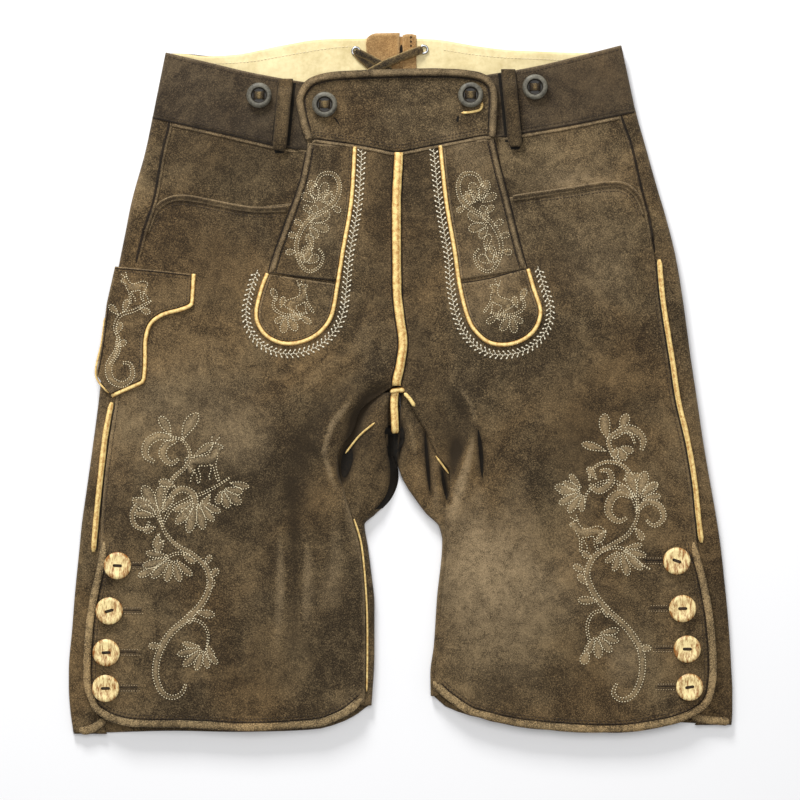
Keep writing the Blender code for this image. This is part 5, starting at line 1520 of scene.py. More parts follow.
# %% Rims of the drop flap
GROOVE_RIB, LIP_RIB, RIM_RIB = Rib(1.3, 0.22), Rib(2.8, 0.9), Rib(4.4, 1.2)
# LIPPED paints a highlight on the crown of a lip; RIMMED paints a highlight on a rim's crown and
# shade on its flanks.
LIPPED = (-0.3, 0.0, 0.25, 0.4, 0.42, 0.34, 0.2, 0.0, -0.3)
RIMMED = (-0.9, -0.3, 0.1, 0.25, 0.3, 0.22, 0.1, -0.2, -0.8)
grooves = []


def groove(name, path, trees, width=GROOVE_RIB.width, step=2.0):
    """Line of painted shade along a seam."""
    grooves.append(rib(name, smooth_line(path, step), Rib(width, GROOVE_RIB.height), trees, SEAM_SHADE,
                       "suede", lift=0.06, end_taper=0.6))


def lip(name, path, trees, size=LIP_RIB, shade=LIPPED, step=2.5, wobble=0.2):
    """Low fold of suede along a seam, painted with a highlight on its crown."""
    grooves.append(rib(name, smooth_line(path, step), size, trees, SUEDE, "suede", lift=0.05,
                       shade=shade, end_taper=0.8, wobble=wobble))


for side, turn in INWARD.items():
    trees = surfaces(straps[side])
    edge = smooth_line(FLAP_EDGE[side], 2)
    lip(f"flap_rim_{side}", inset_path(edge, turn * 2.3)[1:-2], trees, RIM_RIB, RIMMED, 3, 0.1)
    groove(f"flap_rim_line_{side}", inset_path(edge, turn * 5.2)[1:-2], trees, 1.0)
    outside = surfaces(front_panels[side], hips[side], pocket_rolls[side])
    groove(f"flap_edge_line_{side}", inset_path(edge, -turn * 0.6)[1:-1], outside, 1.6)
so_far("rims")

# %% Lines of painted shade and lips of band, bib, side seams and centre
CROSS_SEAM = {"r": path_of(-109, 94, -84, 90.3, -53, 87),
              "l": path_of(104, 97, 76, 89, 51, 84.8)}
SIDE_SEAM_TOP = {"r": (222, 101), "l": (226, 106)}
for side, turn in INWARD.items():
    low = smooth_line(BAND_BOTTOM[side], 3)[:-8]
    trees = surfaces(hips[side], bands[side], front_panels[side])
    groove(f"band_line_{side}", inset_path(low, -turn * 0.4), trees, 1.4)
    # The painted highlight on the band lip is weaker on the right.
    dim = 0.22 if side == "r" else 0.06
    lip(f"band_lip_{side}", inset_path(low, -turn * 2.9), trees, shade=shifted(LIPPED, -dim))
    groove(f"cross_seam_{side}", CROSS_SEAM[side], surfaces(straps[side], tongues[side]), 0.8)
    high, stop = SIDE_SEAM_TOP[side]
    seam = [Point(seam_x(side, y) - turn * 0.2, y) for y in range(high, stop, -5)]
    trees = surfaces(front_panels[side], hips[side], back_panels[side], pocket_rolls[side])
    groove(f"side_seam_line_{side}", seam, trees, 2.0)
    lip(f"side_seam_lip_{side}", inset_path(seam, turn * 2.4)[1:-1], trees, Rib(2.6, 0.6),
        shifted(LIPPED, -0.3))
    line = inset_path(centre_line, -turn * (CENTRE_RIB.width / 2 + 0.5))
    groove(f"centre_line_{side}", line[2:], all_panels, 1.3)
    edge = inset_path(front_edges[side], turn * (HEM_ROLL.width + 0.3))
    groove(f"hem_line_{side}", edge[2:], surfaces(front_panels[side]), 0.8)
    edge = smooth_line(SIDE_PIPING[side], 3)
    groove(f"side_piping_line_{side}", inset_path(edge, turn * 3.0),
           surfaces(front_panels[side], back_panels[side]), 1.4)
low = smooth_line(BIB_BOTTOM, 2)[2:-2]
trees = surfaces(*front_panels.values(), *straps.values())
groove("bib_line", inset_path(low, -0.4), trees, 1.3)
lip("bib_lip", inset_path(low, -2.6), trees)
groove("bib_rim_line", inset_path(bib_line, -3.8)[3:-3], surfaces(bib), 1.0)
so_far("grooves and lips")

# %% Lines of the knife pocket, the knot and the branch of piping under it
trees = surfaces(knife)
groove("knife_line", inset_path(knife_edge, 2.9)[1:-10], trees, 1.2)
groove("knife_top_line", inset_path(KNIFE_POCKET[:3], -1.6), trees, 1.0)
groove("knife_fold_line", inset_path(smooth_line(KNIFE_POCKET[:11:-1], 3), 1.6), trees, 1.1)
knot_path = smooth_line(path_of(-8, -6.8, -5, -5.4, 0, -4.6, 3.8, -5.2), 1.0)
knot_floor = max(top_of(all_panels, x, y) for x, y in knot_path)
rib("centre_knot", knot_path, Rib(4.6, 3.6), [], PIPING, "piping", base=knot_floor - 0.4,
    shade=PIPED_BACK, end_taper=0.55, wobble=0.1)
# The branch of piping gets painted shade on its flanks.
branch_path = smooth_line(path_of(3.4, -7, 8, -12, 12.5, -18.5), 1.2)
rib("crotch_branch_piping", branch_path, Rib(3.4, 1.7), all_panels, PIPING, "piping",
    shade=(0.5, 0.1, -0.3, -0.3, -0.3, -0.3, -0.1, 0.1, 0.4), end_taper=0.9, wobble=0.12)
so_far("lines of the knife pocket")

# %% Dark skins of painted shade for hollows, slits and shadows
HOLLOW_REACH = ((0, 0), (0.8, 0), (-0.8, 0), (0, 0.8), (0, -0.8))
HOLLOW_LIFT = 0.12                    # skin above the leather, in mm


def hollow(name, left, right, trees, rows=24, columns=5):
    """Painted shade between two lines, drawn as a dark skin close to what lies below."""
    grid = ruled_down(smooth_line(left, 1.5), smooth_line(right, 1.5), rows, columns)
    verts = [(x, y, max(top_of(trees, x + dx, y + dy) for dx, dy in HOLLOW_REACH)
              + HOLLOW_LIFT) for row in grid for x, y in row]
    skin = mesh_object(name, verts, grid_faces(rows + 1, columns + 1), PAINTED_DEEP_SHADE)
    grooves.append(stand_for(skin, "suede"))


def slit(name, path, width, trees):
    """Painted shade along a slit that opens from nothing to its width and closes again."""
    path = smooth_line(path, 1.5)
    last = len(path) - 1
    spread = [width / 2 * math.sin(math.pi * (0.03 + 0.94 * n / last)) ** 0.8
              for n in range(last + 1)]
    left, right = ([Point(p.x + way * w, p.y) for p, w in zip(path, spread)] for way in (-1, 1))
    hollow(name, left, right, trees, rows=20, columns=3)


# %% Painted shade in the hollows between the folds, in the slits on the bib and in the notch
hollow("hollow_under_tab",
       path_of(
           -9.5, -34.5, -12.8, -38.5, -11.8, -46.6, -10.1, -56.7, -8.0, -71.8, -9.0, -84.4,
           -13, -95.3, -21, -105.4),
       path_of(
           -0.5, -33.5, 3.2, -38, 3.6, -46.6, 0.8, -54.2, -2.5, -63.4, -1.2, -76, -2.4, -85.3,
           -7.4, -96.2, -14.4, -104.2), all_panels, 36)
slit("slit_right_thigh", path_of(-43, -51, -44.5, -64, -47, -78), 9.5, all_panels)
slit("slit_left_thigh_1", path_of(21, -40.7, 23, -66, 25, -89.5), 2.6, all_panels)
slit("slit_left_thigh_2", path_of(35.3, -71.8, 37, -84, 39.5, -97), 2.8, all_panels)
slit("slit_left_thigh_3", path_of(65.5, -38, 68, -58, 69, -78), 3.4, all_panels)
on_bib = surfaces(bib)
slit("bib_slit_1", path_of(-55.5, 224, -53, 221, -51, 217.5), 1.8, on_bib)
slit("bib_slit_2", path_of(48.9, 224.6, 48.2, 222, 48, 219.4), 2.4, on_bib)
thong_path = smooth_line(path_of(69, 236, 67.4, 230.4, 61, 228.2, 51.5, 227.2), 1.2)
rib("thong_end", thong_path, Rib(2.2, 1.3), on_bib, PIPING, "thong", lift=0.2, end_taper=0.6)
NOTCH_HOLES = (292.2, 288.6, 285, 281.4)
for n, y in enumerate(NOTCH_HOLES):
    slit(f"notch_hole_{n}", (Point(8.9, y + 1.2), Point(9.4, y), Point(9.0, y - 1.2)), 1.8,
         surfaces(notch_tabs["l"]))
so_far("slits")

# %% Buttonhole lines of painted shade, the shaded gap of the notch and painted shadows beside and below the belt loops
for side, rows in HORN_BUTTONS.items():
    trees = surfaces(front_panels[side])
    for n, button in enumerate(rows, 1):
        path = [Point(button.x + INWARD[side] * out, button.y + 0.3) for out in (10, 18, 27)]
        groove(f"buttonhole_line_{side}{n}", smooth_line(path, 2), trees, 0.9)
slit("notch_gap", path_of(1.0, 286.4, 1.2, 282, 1.4, 275), 2.8, surfaces(backing))
for side, turn in INWARD.items():
    high, low = BELT_LOOPS[side]
    trees = surfaces(bands[side], hips[side])
    for out, width in ((turn * 7.2, 2.4), (-turn * 6.4, 0.7)):
        ends = [Point(p.x + out, p.y + dy) for p, dy in ((high, -3), (low, 4))]
        hollow(f"loop_shadow_{side}_{round(out)}",
               [Point(p.x - width / 2, p.y) for p in ends],
               [Point(p.x + width / 2, p.y) for p in ends], trees, 10, 2)
    hollow(f"loop_foot_shadow_{side}",
           (Point(low.x - 4.8, low.y + 2), Point(low.x - 3.6, low.y - 2.2)),
           (Point(low.x + 4.8, low.y + 2), Point(low.x + 3.6, low.y - 2.2)), trees, 4, 6)
print("seam strips and hollows:", len(grooves))

# %% [markdown]
# ## Buttons of horn and dark resin
# Buttons are turned, so each is a profile swept round its axis. Slots are cut with a Boolean on
# one master mesh, which its copies then share the shape of. The horn ones close the vents and are
# sewn with dark thread through their slot; the dished ones carry the braces and hang on a thong.

# %% Turned shapes with slots
SLOT_STEPS = 16                       # points round a slot


def turned_mesh(name, profile, steps, slots):
    """Mesh of a turned profile (r, z) in mm with round-ended slots (x, y, long, wide, turn)."""
    verts, faces = [], []
    ring = len(profile)
    for k in range(steps):
        angle, n = 2 * math.pi * k / steps, (k + 1) % steps
        verts += [Vector((r * math.cos(angle), r * math.sin(angle), z)) * MM for r, z in profile]
        faces += [(k * ring + i, k * ring + i + 1, n * ring + i + 1, n * ring + i)
                  for i in range(ring - 1)]
    faces.append([k * ring for k in range(steps)])
    faces.append([k * ring + ring - 1 for k in range(steps)][::-1])
    mesh = bpy.data.meshes.new(name)
    mesh.from_pydata(verts, [], faces)
    shape = bmesh.new()
    shape.from_mesh(mesh)
    bmesh.ops.recalc_face_normals(shape, faces=shape.faces)
    shape.to_mesh(mesh)
    shape.free()
    body = new_object(name, mesh)
    cutters = []
    for x, y, long, wide, turn in slots:
        spun = []
        for k in range(SLOT_STEPS):
            angle = 2 * math.pi * k / SLOT_STEPS
            end = math.copysign((long - wide) / 2, math.cos(angle))
            spun.append(turned_by(turn, end + wide / 2 * math.cos(angle),
                                  wide / 2 * math.sin(angle), (x, y)))
        cut = bpy.data.meshes.new("slot")
        ends = [tuple(range(SLOT_STEPS))[::-1], tuple(range(SLOT_STEPS, 2 * SLOT_STEPS))]
        walls = [(k, n, SLOT_STEPS + n, SLOT_STEPS + k)
                 for k in range(SLOT_STEPS) for n in [(k + 1) % SLOT_STEPS]]
        cut.from_pydata([Vector((*p, z)) * MM for z in (-9, 12) for p in spun], [], ends + walls)
        cutters.append(new_object("slot", cut))
        modifier = body.modifiers.new("slot", "BOOLEAN")
        modifier.operation = "DIFFERENCE"
        modifier.object = cutters[-1]
    bpy.context.view_layer.update()
    graph = bpy.context.evaluated_depsgraph_get()
    done = bpy.data.meshes.new_from_object(body.evaluated_get(graph))
    for obj in (body, *cutters):
        bpy.data.objects.remove(obj)
    done.name = name
    done.shade_smooth()
    done.set_sharp_from_angle(angle=math.radians(38))
    return done


# %% Placing a turned shape, and bars of thread
def place_mesh(name, mesh, at, height, turn, tilt, material, darkening):
    """Copy of a mesh with its points moved into place; darkening gives the tone at a radius."""
    copy = mesh.copy()
    copy.name = name
    middle = to_frame((at.x, at.y, height))
    for v in copy.vertices:
        x, y, z = v.co
        v.co = (*turned_by(turn, x, y, middle), middle.z + z + tilt[0] * x + tilt[1] * y)
    mask = copy.attributes.new("wear_and_shade", "FLOAT", "POINT")
    mask.data.foreach_set("value", [
        darkening(math.hypot(v.co.x - middle.x, v.co.y - middle.y) / MM) for v in copy.vertices])
    copy.materials.clear()
    copy.materials.append(material)
    made_pieces.append(new_object(name, copy))
    return made_pieces[-1]


def rounded_bar(name, at, height, turn, long, wide, thick, material, arch=0.0, parts=8, ring=10):
    """Short strip of thread or thong with round edges, arched over its middle."""
    verts = []
    for n in range(parts + 1):
        rise = arch * (1 - (2 * n / parts - 1) ** 4)
        for k in range(ring):
            angle = 2 * math.pi * k / ring
            spot = turned_by(turn, (n / parts - 0.5) * long, wide / 2 * math.cos(angle), at)
            verts.append((*spot, height + rise + thick / 2 * math.sin(angle)))
    return mesh_object(name, verts, tube_faces(parts + 1, ring), material)


# %% Horn buttons on the vents
HORN_R, HORN_H = 11.4, 3.6
horn_profile = [(0.6, HORN_H - 0.7), (5.6, HORN_H - 0.62), (7.6, HORN_H - 0.2),
                (8.6, HORN_H), (9.8, HORN_H - 0.08), (10.8, HORN_H - 0.6), (HORN_R, HORN_H - 1.3),
                (HORN_R - 0.3, HORN_H - 2.3), (HORN_R - 1.6, 0.1), (0.6, 0.0)]
horn_mesh = turned_mesh("horn_button", horn_profile, 56, ((0, 0, 7.8, 2.7, 0),))
for side, rows in HORN_BUTTONS.items():
    trees = surfaces(front_panels[side], hem_rolls[side])
    for number, button in enumerate(rows, 1):
        ground = highest(trees, button.x, button.y, (-10, -5, 0, 5, 10)) + 0.2
        turn = math.radians(button.turn)
        spin = drift(button.x, button.y, 0)
        piece = place_mesh(f"horn_disc_{side}{number}", horn_mesh, button, ground, turn,
                           (0.03 * spin, 0.02), HORN, lambda r: 0.4 * max(0.0, r - 10.0) / 1.4)
        stand_for(piece, "horn", f"horn_button_{side}{number}")
        sewn = rounded_bar(f"horn_thread_{side}{number}", button, ground + HORN_H - 2.3, turn,
                           6.6, 2.4, 1.0, SEAM_THREAD, arch=0.2)
        stand_for(sewn, "thong")
so_far("horn buttons")

# %% Brace buttons held by thongs
BRACE_BUTTONS = {
    "band_r": Point(-118, 242), "bib_r": Point(-63, 234),
    "bib_l": Point(59, 242), "band_l": Point(113, 249),
}
BRACE_R, BRACE_H, SLOT_SPREAD = 10.5, 5.0, 3.6
# The dark dish of a brace button is painted shade in its recess.
DISH_R = 6.5                          # the dish inside its rim is dark
brace_profile = [(0.5, BRACE_H - 2.3), (5.6, BRACE_H - 2.3), (6.3, BRACE_H - 1.7),
                 (6.8, BRACE_H - 0.3), (7.6, BRACE_H), (8.9, BRACE_H - 0.15),
                 (9.9, BRACE_H - 0.8), (BRACE_R, BRACE_H - 1.9), (9.8, BRACE_H - 3.0),
                 (7.6, 0.3), (6.6, 0.0), (0.5, 0.0)]
brace_mesh = turned_mesh("brace_button", brace_profile, 56, [
    (x, 0, 7.6, 2.4, math.pi / 2) for x in (-SLOT_SPREAD, SLOT_SPREAD)])
for place, at in BRACE_BUTTONS.items():
    below = bib if place.startswith("bib") else bands[place[-1]]
    ground = highest(surfaces(below), at.x, at.y, (-9, 0, 9)) + 1.0
    piece = place_mesh(f"brace_button_{place}", brace_mesh, at, ground, 0.0, (0.0, 0.03),
                       BUTTON_GREY, lambda r: 0.95 if r < DISH_R else 0.0)
    stand_for(piece, "button_grey", f"suspender_button_{place}")
    strap = rounded_bar(f"button_thong_{place}", at, ground + BRACE_H - 2.3, 0.0,
                        2 * SLOT_SPREAD + 0.6, 6.2, 1.6, THONG, arch=1.0)
    stand_for(strap, "thong", f"thong_{place}")
    # Painted highlight along the middle of the thong and painted shade towards its ends.
    for k, v in enumerate(strap.data.vertices):
        offset = abs(v.co.x / MM - SHIFT.x - at.x) / 4
        strap.data.attributes["wear_and_shade"].data[k].value = 0.3 - 1.3 * offset ** 2
so_far("brace buttons")

# %% Eyelets of the lacing
EYELET_R, EYELET_WIDE, EYELET_THICK = 3.2, 0.95, 0.75
EYELET_Z = BACK_BAND_WALL + SEAM_GAP + LINING_WALL + 1.3
for side, at in EYELETS.items():
    verts, faces = [], []
    rounds, tube = 32, 10
    for k in range(rounds):
        big = 2 * math.pi * k / rounds
        for i in range(tube):
            small = 2 * math.pi * i / tube
            reach = EYELET_R + EYELET_WIDE * math.cos(small)
            verts.append((at.x + reach * math.cos(big), at.y + reach * math.sin(big),
                          EYELET_Z + EYELET_THICK * math.sin(small)))
            n, m = (k + 1) % rounds, (i + 1) % tube
            faces.append((k * tube + i, n * tube + i, n * tube + m, k * tube + m))
    stand_for(mesh_object(f"lace_ring_{side}", verts, faces, METAL), "metal", f"eyelet_{side}")
print("buttons placed:", len(HORN_BUTTONS["r"]) * 2 + len(BRACE_BUTTONS))

# %% [markdown]
# ## Thread
# Each stitch is a short spindle of thread, laid from one needle hole to the next on whatever
# leather is below. Hundreds of stitches in a row cost little as one joined mesh, and unlike a
# painted dashed line they catch the light and survive a close look. Needle holes sink a little,
# so a stitch is lowest at its ends.

# %% Stitches along lines
def resampled(path, pitch):
    """Points every pitch mm along a line."""
    total = line_length(path)
    count = max(1, round(total / pitch))
    out, walked, k = [path[0]], 0.0, 0
    for n in range(1, count + 1):
        goal = total * n / count
        while k < len(path) - 1:
            step = math.dist(path[k], path[k + 1])
            if walked + step >= goal - 1e-9 or k == len(path) - 2:
                share = (goal - walked) / step if step else 1.0
                out.append(Point(*between(path[k], path[k + 1], share)))
                break
            walked += step
            k += 1
    return out


# %% Sewing on the leather
class ThreadWork:
    """Collects stitches for one joined mesh."""

    def __init__(self, trees, seed):
        self.trees, self.verts, self.faces = trees, [], []
        self.hand = random.Random(seed)

    def stitch(self, a, b, radius, lift=0.12):
        """One stitch from a to b on the leather below."""
        za, zb = top_of(self.trees, *a), top_of(self.trees, *b)
        zm = max(top_of(self.trees, (a.x + b.x) / 2, (a.y + b.y) / 2), (za + zb) / 2)
        run = Vector((b.x - a.x, b.y - a.y))
        if run.length < 0.05:
            return
        run.normalize()
        radius *= 1 + 0.14 * (self.hand.random() - 0.5)
        wide = radius * 0.86
        first = len(self.verts)
        self.verts.append((*a, za - 0.05))
        for share, end in ((0.22, za), (0.78, zb)):
            x, y = between(a, b, share)
            for out, up in ((1, 0.1), (0.6, 1.0), (-0.6, 1.0), (-1, 0.1), (0, -0.7)):
                self.verts.append((x - run.y * wide * out, y + run.x * wide * out,
                                   end * 0.5 + zm * 0.5 + lift + wide * up))
        self.verts.append((*b, zb - 0.05))
        for k in range(5):
            n = (k + 1) % 5
            self.faces.append((first, first + 1 + n, first + 1 + k))
            self.faces.append((first + 1 + k, first + 1 + n, first + 6 + n, first + 6 + k))
            self.faces.append((first + 6 + k, first + 6 + n, first + 11))

    def run(self, path, pitch, radius, gap=0.22):
        """Running stitches along a line, with a gap between one and the next."""
        spots = resampled(path, pitch)
        for a, b in zip(spots, spots[1:]):
            jitter = (self.hand.random() - 0.5) * 0.12
            x, y = between(a, b, 1 - gap)
            self.stitch(a, Point(x + jitter, y + jitter), radius)

    def finish(self, name, material, slot):
        """The stitches as one piece."""
        print(f"{name}: {len(self.faces) // 15} stitches")
        return stand_for(mesh_object(name, self.verts, self.faces, material), slot)


# %% Seam stitching of each side
SEAM_PITCH, EDGE_PITCH, FINE_PITCH = 3.2, 3.0, 2.6
for side, turn in INWARD.items():
    work = ThreadWork(surfaces(front_panels[side], hips[side], bands[side], back_panels[side],
                               straps[side], tongues[side], bib), 11)
    for inset in (6.2, 8.4):
        pocket_seam = inset_path(smooth_line(POCKET_EDGE[side], 2.5), -turn * inset)
        work.run(pocket_seam[1:-4], EDGE_PITCH, 0.36)
    for inset in (7.6, 9.8):
        work.run(inset_path(front_edges[side], turn * inset), SEAM_PITCH, 0.38)
    band_top = smooth_line(BAND_TOP[side], 3)
    keep = slice(2, round(len(band_top) * 0.72))
    work.run(inset_path(band_top, -turn * 3.4)[keep], SEAM_PITCH, 0.36)
    work.run(inset_path(smooth_line(BAND_BOTTOM[side], 3), turn * 3.0)[keep], SEAM_PITCH, 0.36)
    hip_line = smooth_line(HIP_TOP[side], 3)
    work.run(inset_path(hip_line, -turn * 3.0)[2:round(len(hip_line) * 0.74)], SEAM_PITCH, 0.36)
    for inset in (3.0, 5.4):
        flap_seam = inset_path(smooth_line(FLAP_EDGE[side], 3), turn * inset)
        work.run(flap_seam[1:-1], EDGE_PITCH, 0.34)
    seam = [Point(seam_x(side, y), y) for y in range(96, -128, -3)]
    work.run(inset_path(seam, turn * 3.0), SEAM_PITCH, 0.34)
    strap_inner = smooth_line([*STRAP_INNER[side][:3], *TONGUE[side][::-1]], 2.0)
    work.run(inset_path(strap_inner, -turn * 1.8)[2:-2], FINE_PITCH, 0.3)
    cross = [FLAP_EDGE[side][-1], STRAP_INNER[side][-1]]
    work.run(smooth_line([Point(p.x, p.y - 0.8) for p in cross], 3), FINE_PITCH, 0.3)
    work.finish(f"seam_stitches_{side}", SEAM_THREAD, "thong")
work = ThreadWork(surfaces(bib, bib_rim), 5)
work.run(inset_path(smooth_line(BIB_TOP, 2), -7.4), EDGE_PITCH, 0.34)
for inset in (2.4, 4.8):
    work.run(inset_path(smooth_line(BIB_BOTTOM, 2), inset)[4:-4], EDGE_PITCH, 0.34)
work.finish("bib_stitches", SEAM_THREAD, "thong")
work = ThreadWork(surfaces(*linings.values()), 6)
for side in BOTH:
    shift = [Point(p.x, p.y - 6.4) for p in smooth_line(BACK_TOP[side], 3) if abs(p.x) > 34]
    work.run(shift[3:], EDGE_PITCH, 0.3)
work.finish("lining_stitches", PALE_THREAD, "lining")
work = ThreadWork(surfaces(knife), 7)
work.run(inset_path([along(pocket_right, j / 60) for j in range(61)], -2.2)[1:], FINE_PITCH, 0.3)
work.run([Point(KNIFE_POCKET[0].x + 4, KNIFE_POCKET[0].y - 4),
          Point(KNIFE_POCKET[2].x - 3, KNIFE_POCKET[2].y - 4)], FINE_PITCH, 0.3)
work.finish("knife_sheath_stitches", SEAM_THREAD, "thong")

# %% Feather stitch round the straps and tongues
for side, turn in INWARD.items():
    line = smooth_line([*STRAP_INNER[side][:3], *TONGUE[side][::-1]], 2.0)
    outer = []
    for n, (point, run) in enumerate(with_run(line)):
        away = 8.2 + 2.6 * held((n / len(line) - 0.35) / 0.15)
        outer.append(beside(point, run, away * turn))
    spots = resampled(smooth_line(outer[::4] + [outer[-1]], 1.0), 2.15)
    work = ThreadWork(surfaces(*front_panels.values()), 21)
    for n, (foot, run) in list(enumerate(with_run(spots)))[1:-1]:
        across = Vector((-run.y, run.x)) * (1 if n % 2 else -1)
        knee, tip = (Point(foot.x + across.x * out - run.x * back,
                           foot.y + across.y * out - run.y * back)
                     for out, back in ((2.0, 1.0), (3.7, 2.6)))
        work.stitch(foot, knee, 0.46, 0.15)
        work.stitch(knee, tip, 0.7, 0.2)
        work.stitch(foot, spots[n + 1], 0.3, 0.1)
    work.finish(f"feather_stitch_{side}", WHITE_THREAD, "piping")

# %% Stitched buttonholes beside the horn buttons
BUTTONHOLE_START, HOLE_PITCH, HOLE_STITCHES = 12.0, 1.15, 15
for side, rows in HORN_BUTTONS.items():
    inward = INWARD[side]
    work = ThreadWork(surfaces(front_panels[side]), 31)
    for button in rows:
        start = button.x + inward * BUTTONHOLE_START
        for n in range(HOLE_STITCHES):
            x = start + inward * n * HOLE_PITCH
            tall = 2.3 if n < HOLE_STITCHES - 2 else 1.3
            for up in (-1, 1):
                work.stitch(Point(x, button.y + up * 0.35),
                            Point(x + inward * 0.3, button.y + up * tall), 0.3, 0.08)
        for up in (-2.7, 2.7):
            work.run([Point(start, button.y + up), Point(start + inward * 15, button.y + up)],
                     2.2, 0.26)
    work.finish(f"buttonholes_{side}", SEAM_THREAD, "thong")
    work = ThreadWork(surfaces(front_panels[side]), 32)
    for button in rows:
        start = button.x + inward * (BUTTONHOLE_START + 0.6)
        for up, long in ((-2.3, 17), (2.4, 15)):
            work.run([Point(start, button.y + up), Point(start + inward * long, button.y + up)],
                     2.1, 0.4, gap=0.5)
    work.finish(f"buttonhole_edges_{side}", DULL_THREAD, "thong")
so_far("stitching")

# %% [markdown]
# ## Embroidery of the legs, straps and knife pocket
# Traditional leather embroidery draws oak leaves, scrolls and game with a running stitch, and the
# stitched outline pulls the suede down so that each leaf stands up a little. So every form here
# is made twice: as a low padded shape, and as a row of stitches round it. The motif is written as
# a short list of stems, leaves and fans of leaves in its own millimetres, which can be mirrored,
# turned and placed anywhere. Both legs carry their own drawing, as hand work is never a copy.

# %% Forms of a motif
Stem = namedtuple("Stem", "width points")
Leaf = namedtuple("Leaf", "x y angle long wide bend")
Fan = namedtuple("Fan", "x y angle spread count long")
Beast = namedtuple("Beast", "x y size turn flip")


def leaf_line(leaf, rows=13):
    """Middle line of a leaf with its half width at each point."""
    line = []
    for k in range(rows + 1):
        share = k / rows
        half = leaf.wide / 2 * math.sin(math.pi * share ** 1.6) ** 0.6 if 0 < k < rows else 0.0
        line.append((turned_by(math.radians(leaf.angle), leaf.long * share,
                               leaf.bend * leaf.long * share ** 2, leaf), half))
    return line


def stem_line(stem):
    """Middle line of a stem, swelling from thin ends to its width."""
    path = smooth_line(path_of(*stem.points), 1.6)
    last = len(path) - 1
    return [(p, stem.width / 2 * (0.24 + 0.76 * math.sin(math.pi * (n / last) ** 0.7) ** 0.8))
            for n, p in enumerate(path)]


def both_sides(line):
    """Left and right edges of a middle line."""
    runs = list(zip(with_run([point for point, _ in line]), line))
    return ([beside(*at, way * half) for at, (_, half) in runs] for way in (1, -1))


def fan_leaves(fan):
    """Leaves of a fan, longest in its middle, each bent a little outwards."""
    leaves = []
    for k in range(fan.count):
        share = k / (fan.count - 1) - 0.5
        long = fan.long * (1 - 0.9 * share ** 2) * (1 + 0.12 * math.sin(5 * k + fan.x))
        angle = fan.angle + share * fan.spread * 1.25
        foot = turned_by(math.radians(angle), fan.long * 0.2, 0.0, fan)
        leaves.append(Leaf(*foot, angle, long, long * 1.5 / fan.count + 1.4, 0.3 * share))
    return leaves


# %% A deer in a square of side 1
BEAST_OUTLINE = path_of(
    0.02, 0.60, 0.08, 0.68, 0.20, 0.715, 0.36, 0.69, 0.52, 0.67, 0.61, 0.72,
    0.67, 0.83, 0.71, 0.92, 0.67, 1.0, 0.765, 0.955, 0.82, 0.94, 0.96, 0.865,
    0.94, 0.82, 0.83, 0.80, 0.80, 0.70, 0.79, 0.57, 0.735, 0.46, 0.745, 0.24,
    0.78, 0.02, 0.72, 0.02, 0.685, 0.24, 0.65, 0.43, 0.50, 0.41, 0.36, 0.44,
    0.31, 0.34, 0.35, 0.21, 0.31, 0.02, 0.25, 0.02, 0.265, 0.20, 0.19, 0.32,
    0.12, 0.44, 0.05, 0.52, 0.02, 0.60)
BEAST_LINES = (
    ((0.62, 0.43), (0.60, 0.27), (0.54, 0.16), (0.57, 0.03)),
    ((0.24, 0.36), (0.17, 0.24), (0.12, 0.16), (0.10, 0.02)),
    ((0.74, 0.95), (0.70, 1.06), (0.74, 1.17)), ((0.78, 0.96), (0.84, 1.06), (0.93, 1.10)),
)
BEAST_PADS = (Leaf(0.0, 0.555, 2, 0.8, 0.3, 0.02), Leaf(0.62, 0.48, 62, 0.46, 0.2, -0.12),
              Leaf(0.2, 0.66, 252, 0.42, 0.17, 0.1), Leaf(0.7, 0.87, -4, 0.26, 0.13, 0.0))


def beast_point(beast, x, y):
    """A point of the drawing of an animal, which fills a square of side 1, in the motif."""
    return turned_by(math.radians(beast.turn), beast.size * (x - 0.5) * beast.flip,
                     beast.size * (y - 0.5), beast)


# %% Laying a motif on the leather
Spot = namedtuple("Spot", "x y wide tall turn")


def spot_point(spot, p):
    """A point of the motif on the table."""
    return turned_by(math.radians(spot.turn), p.x * spot.wide, p.y * spot.tall, spot)


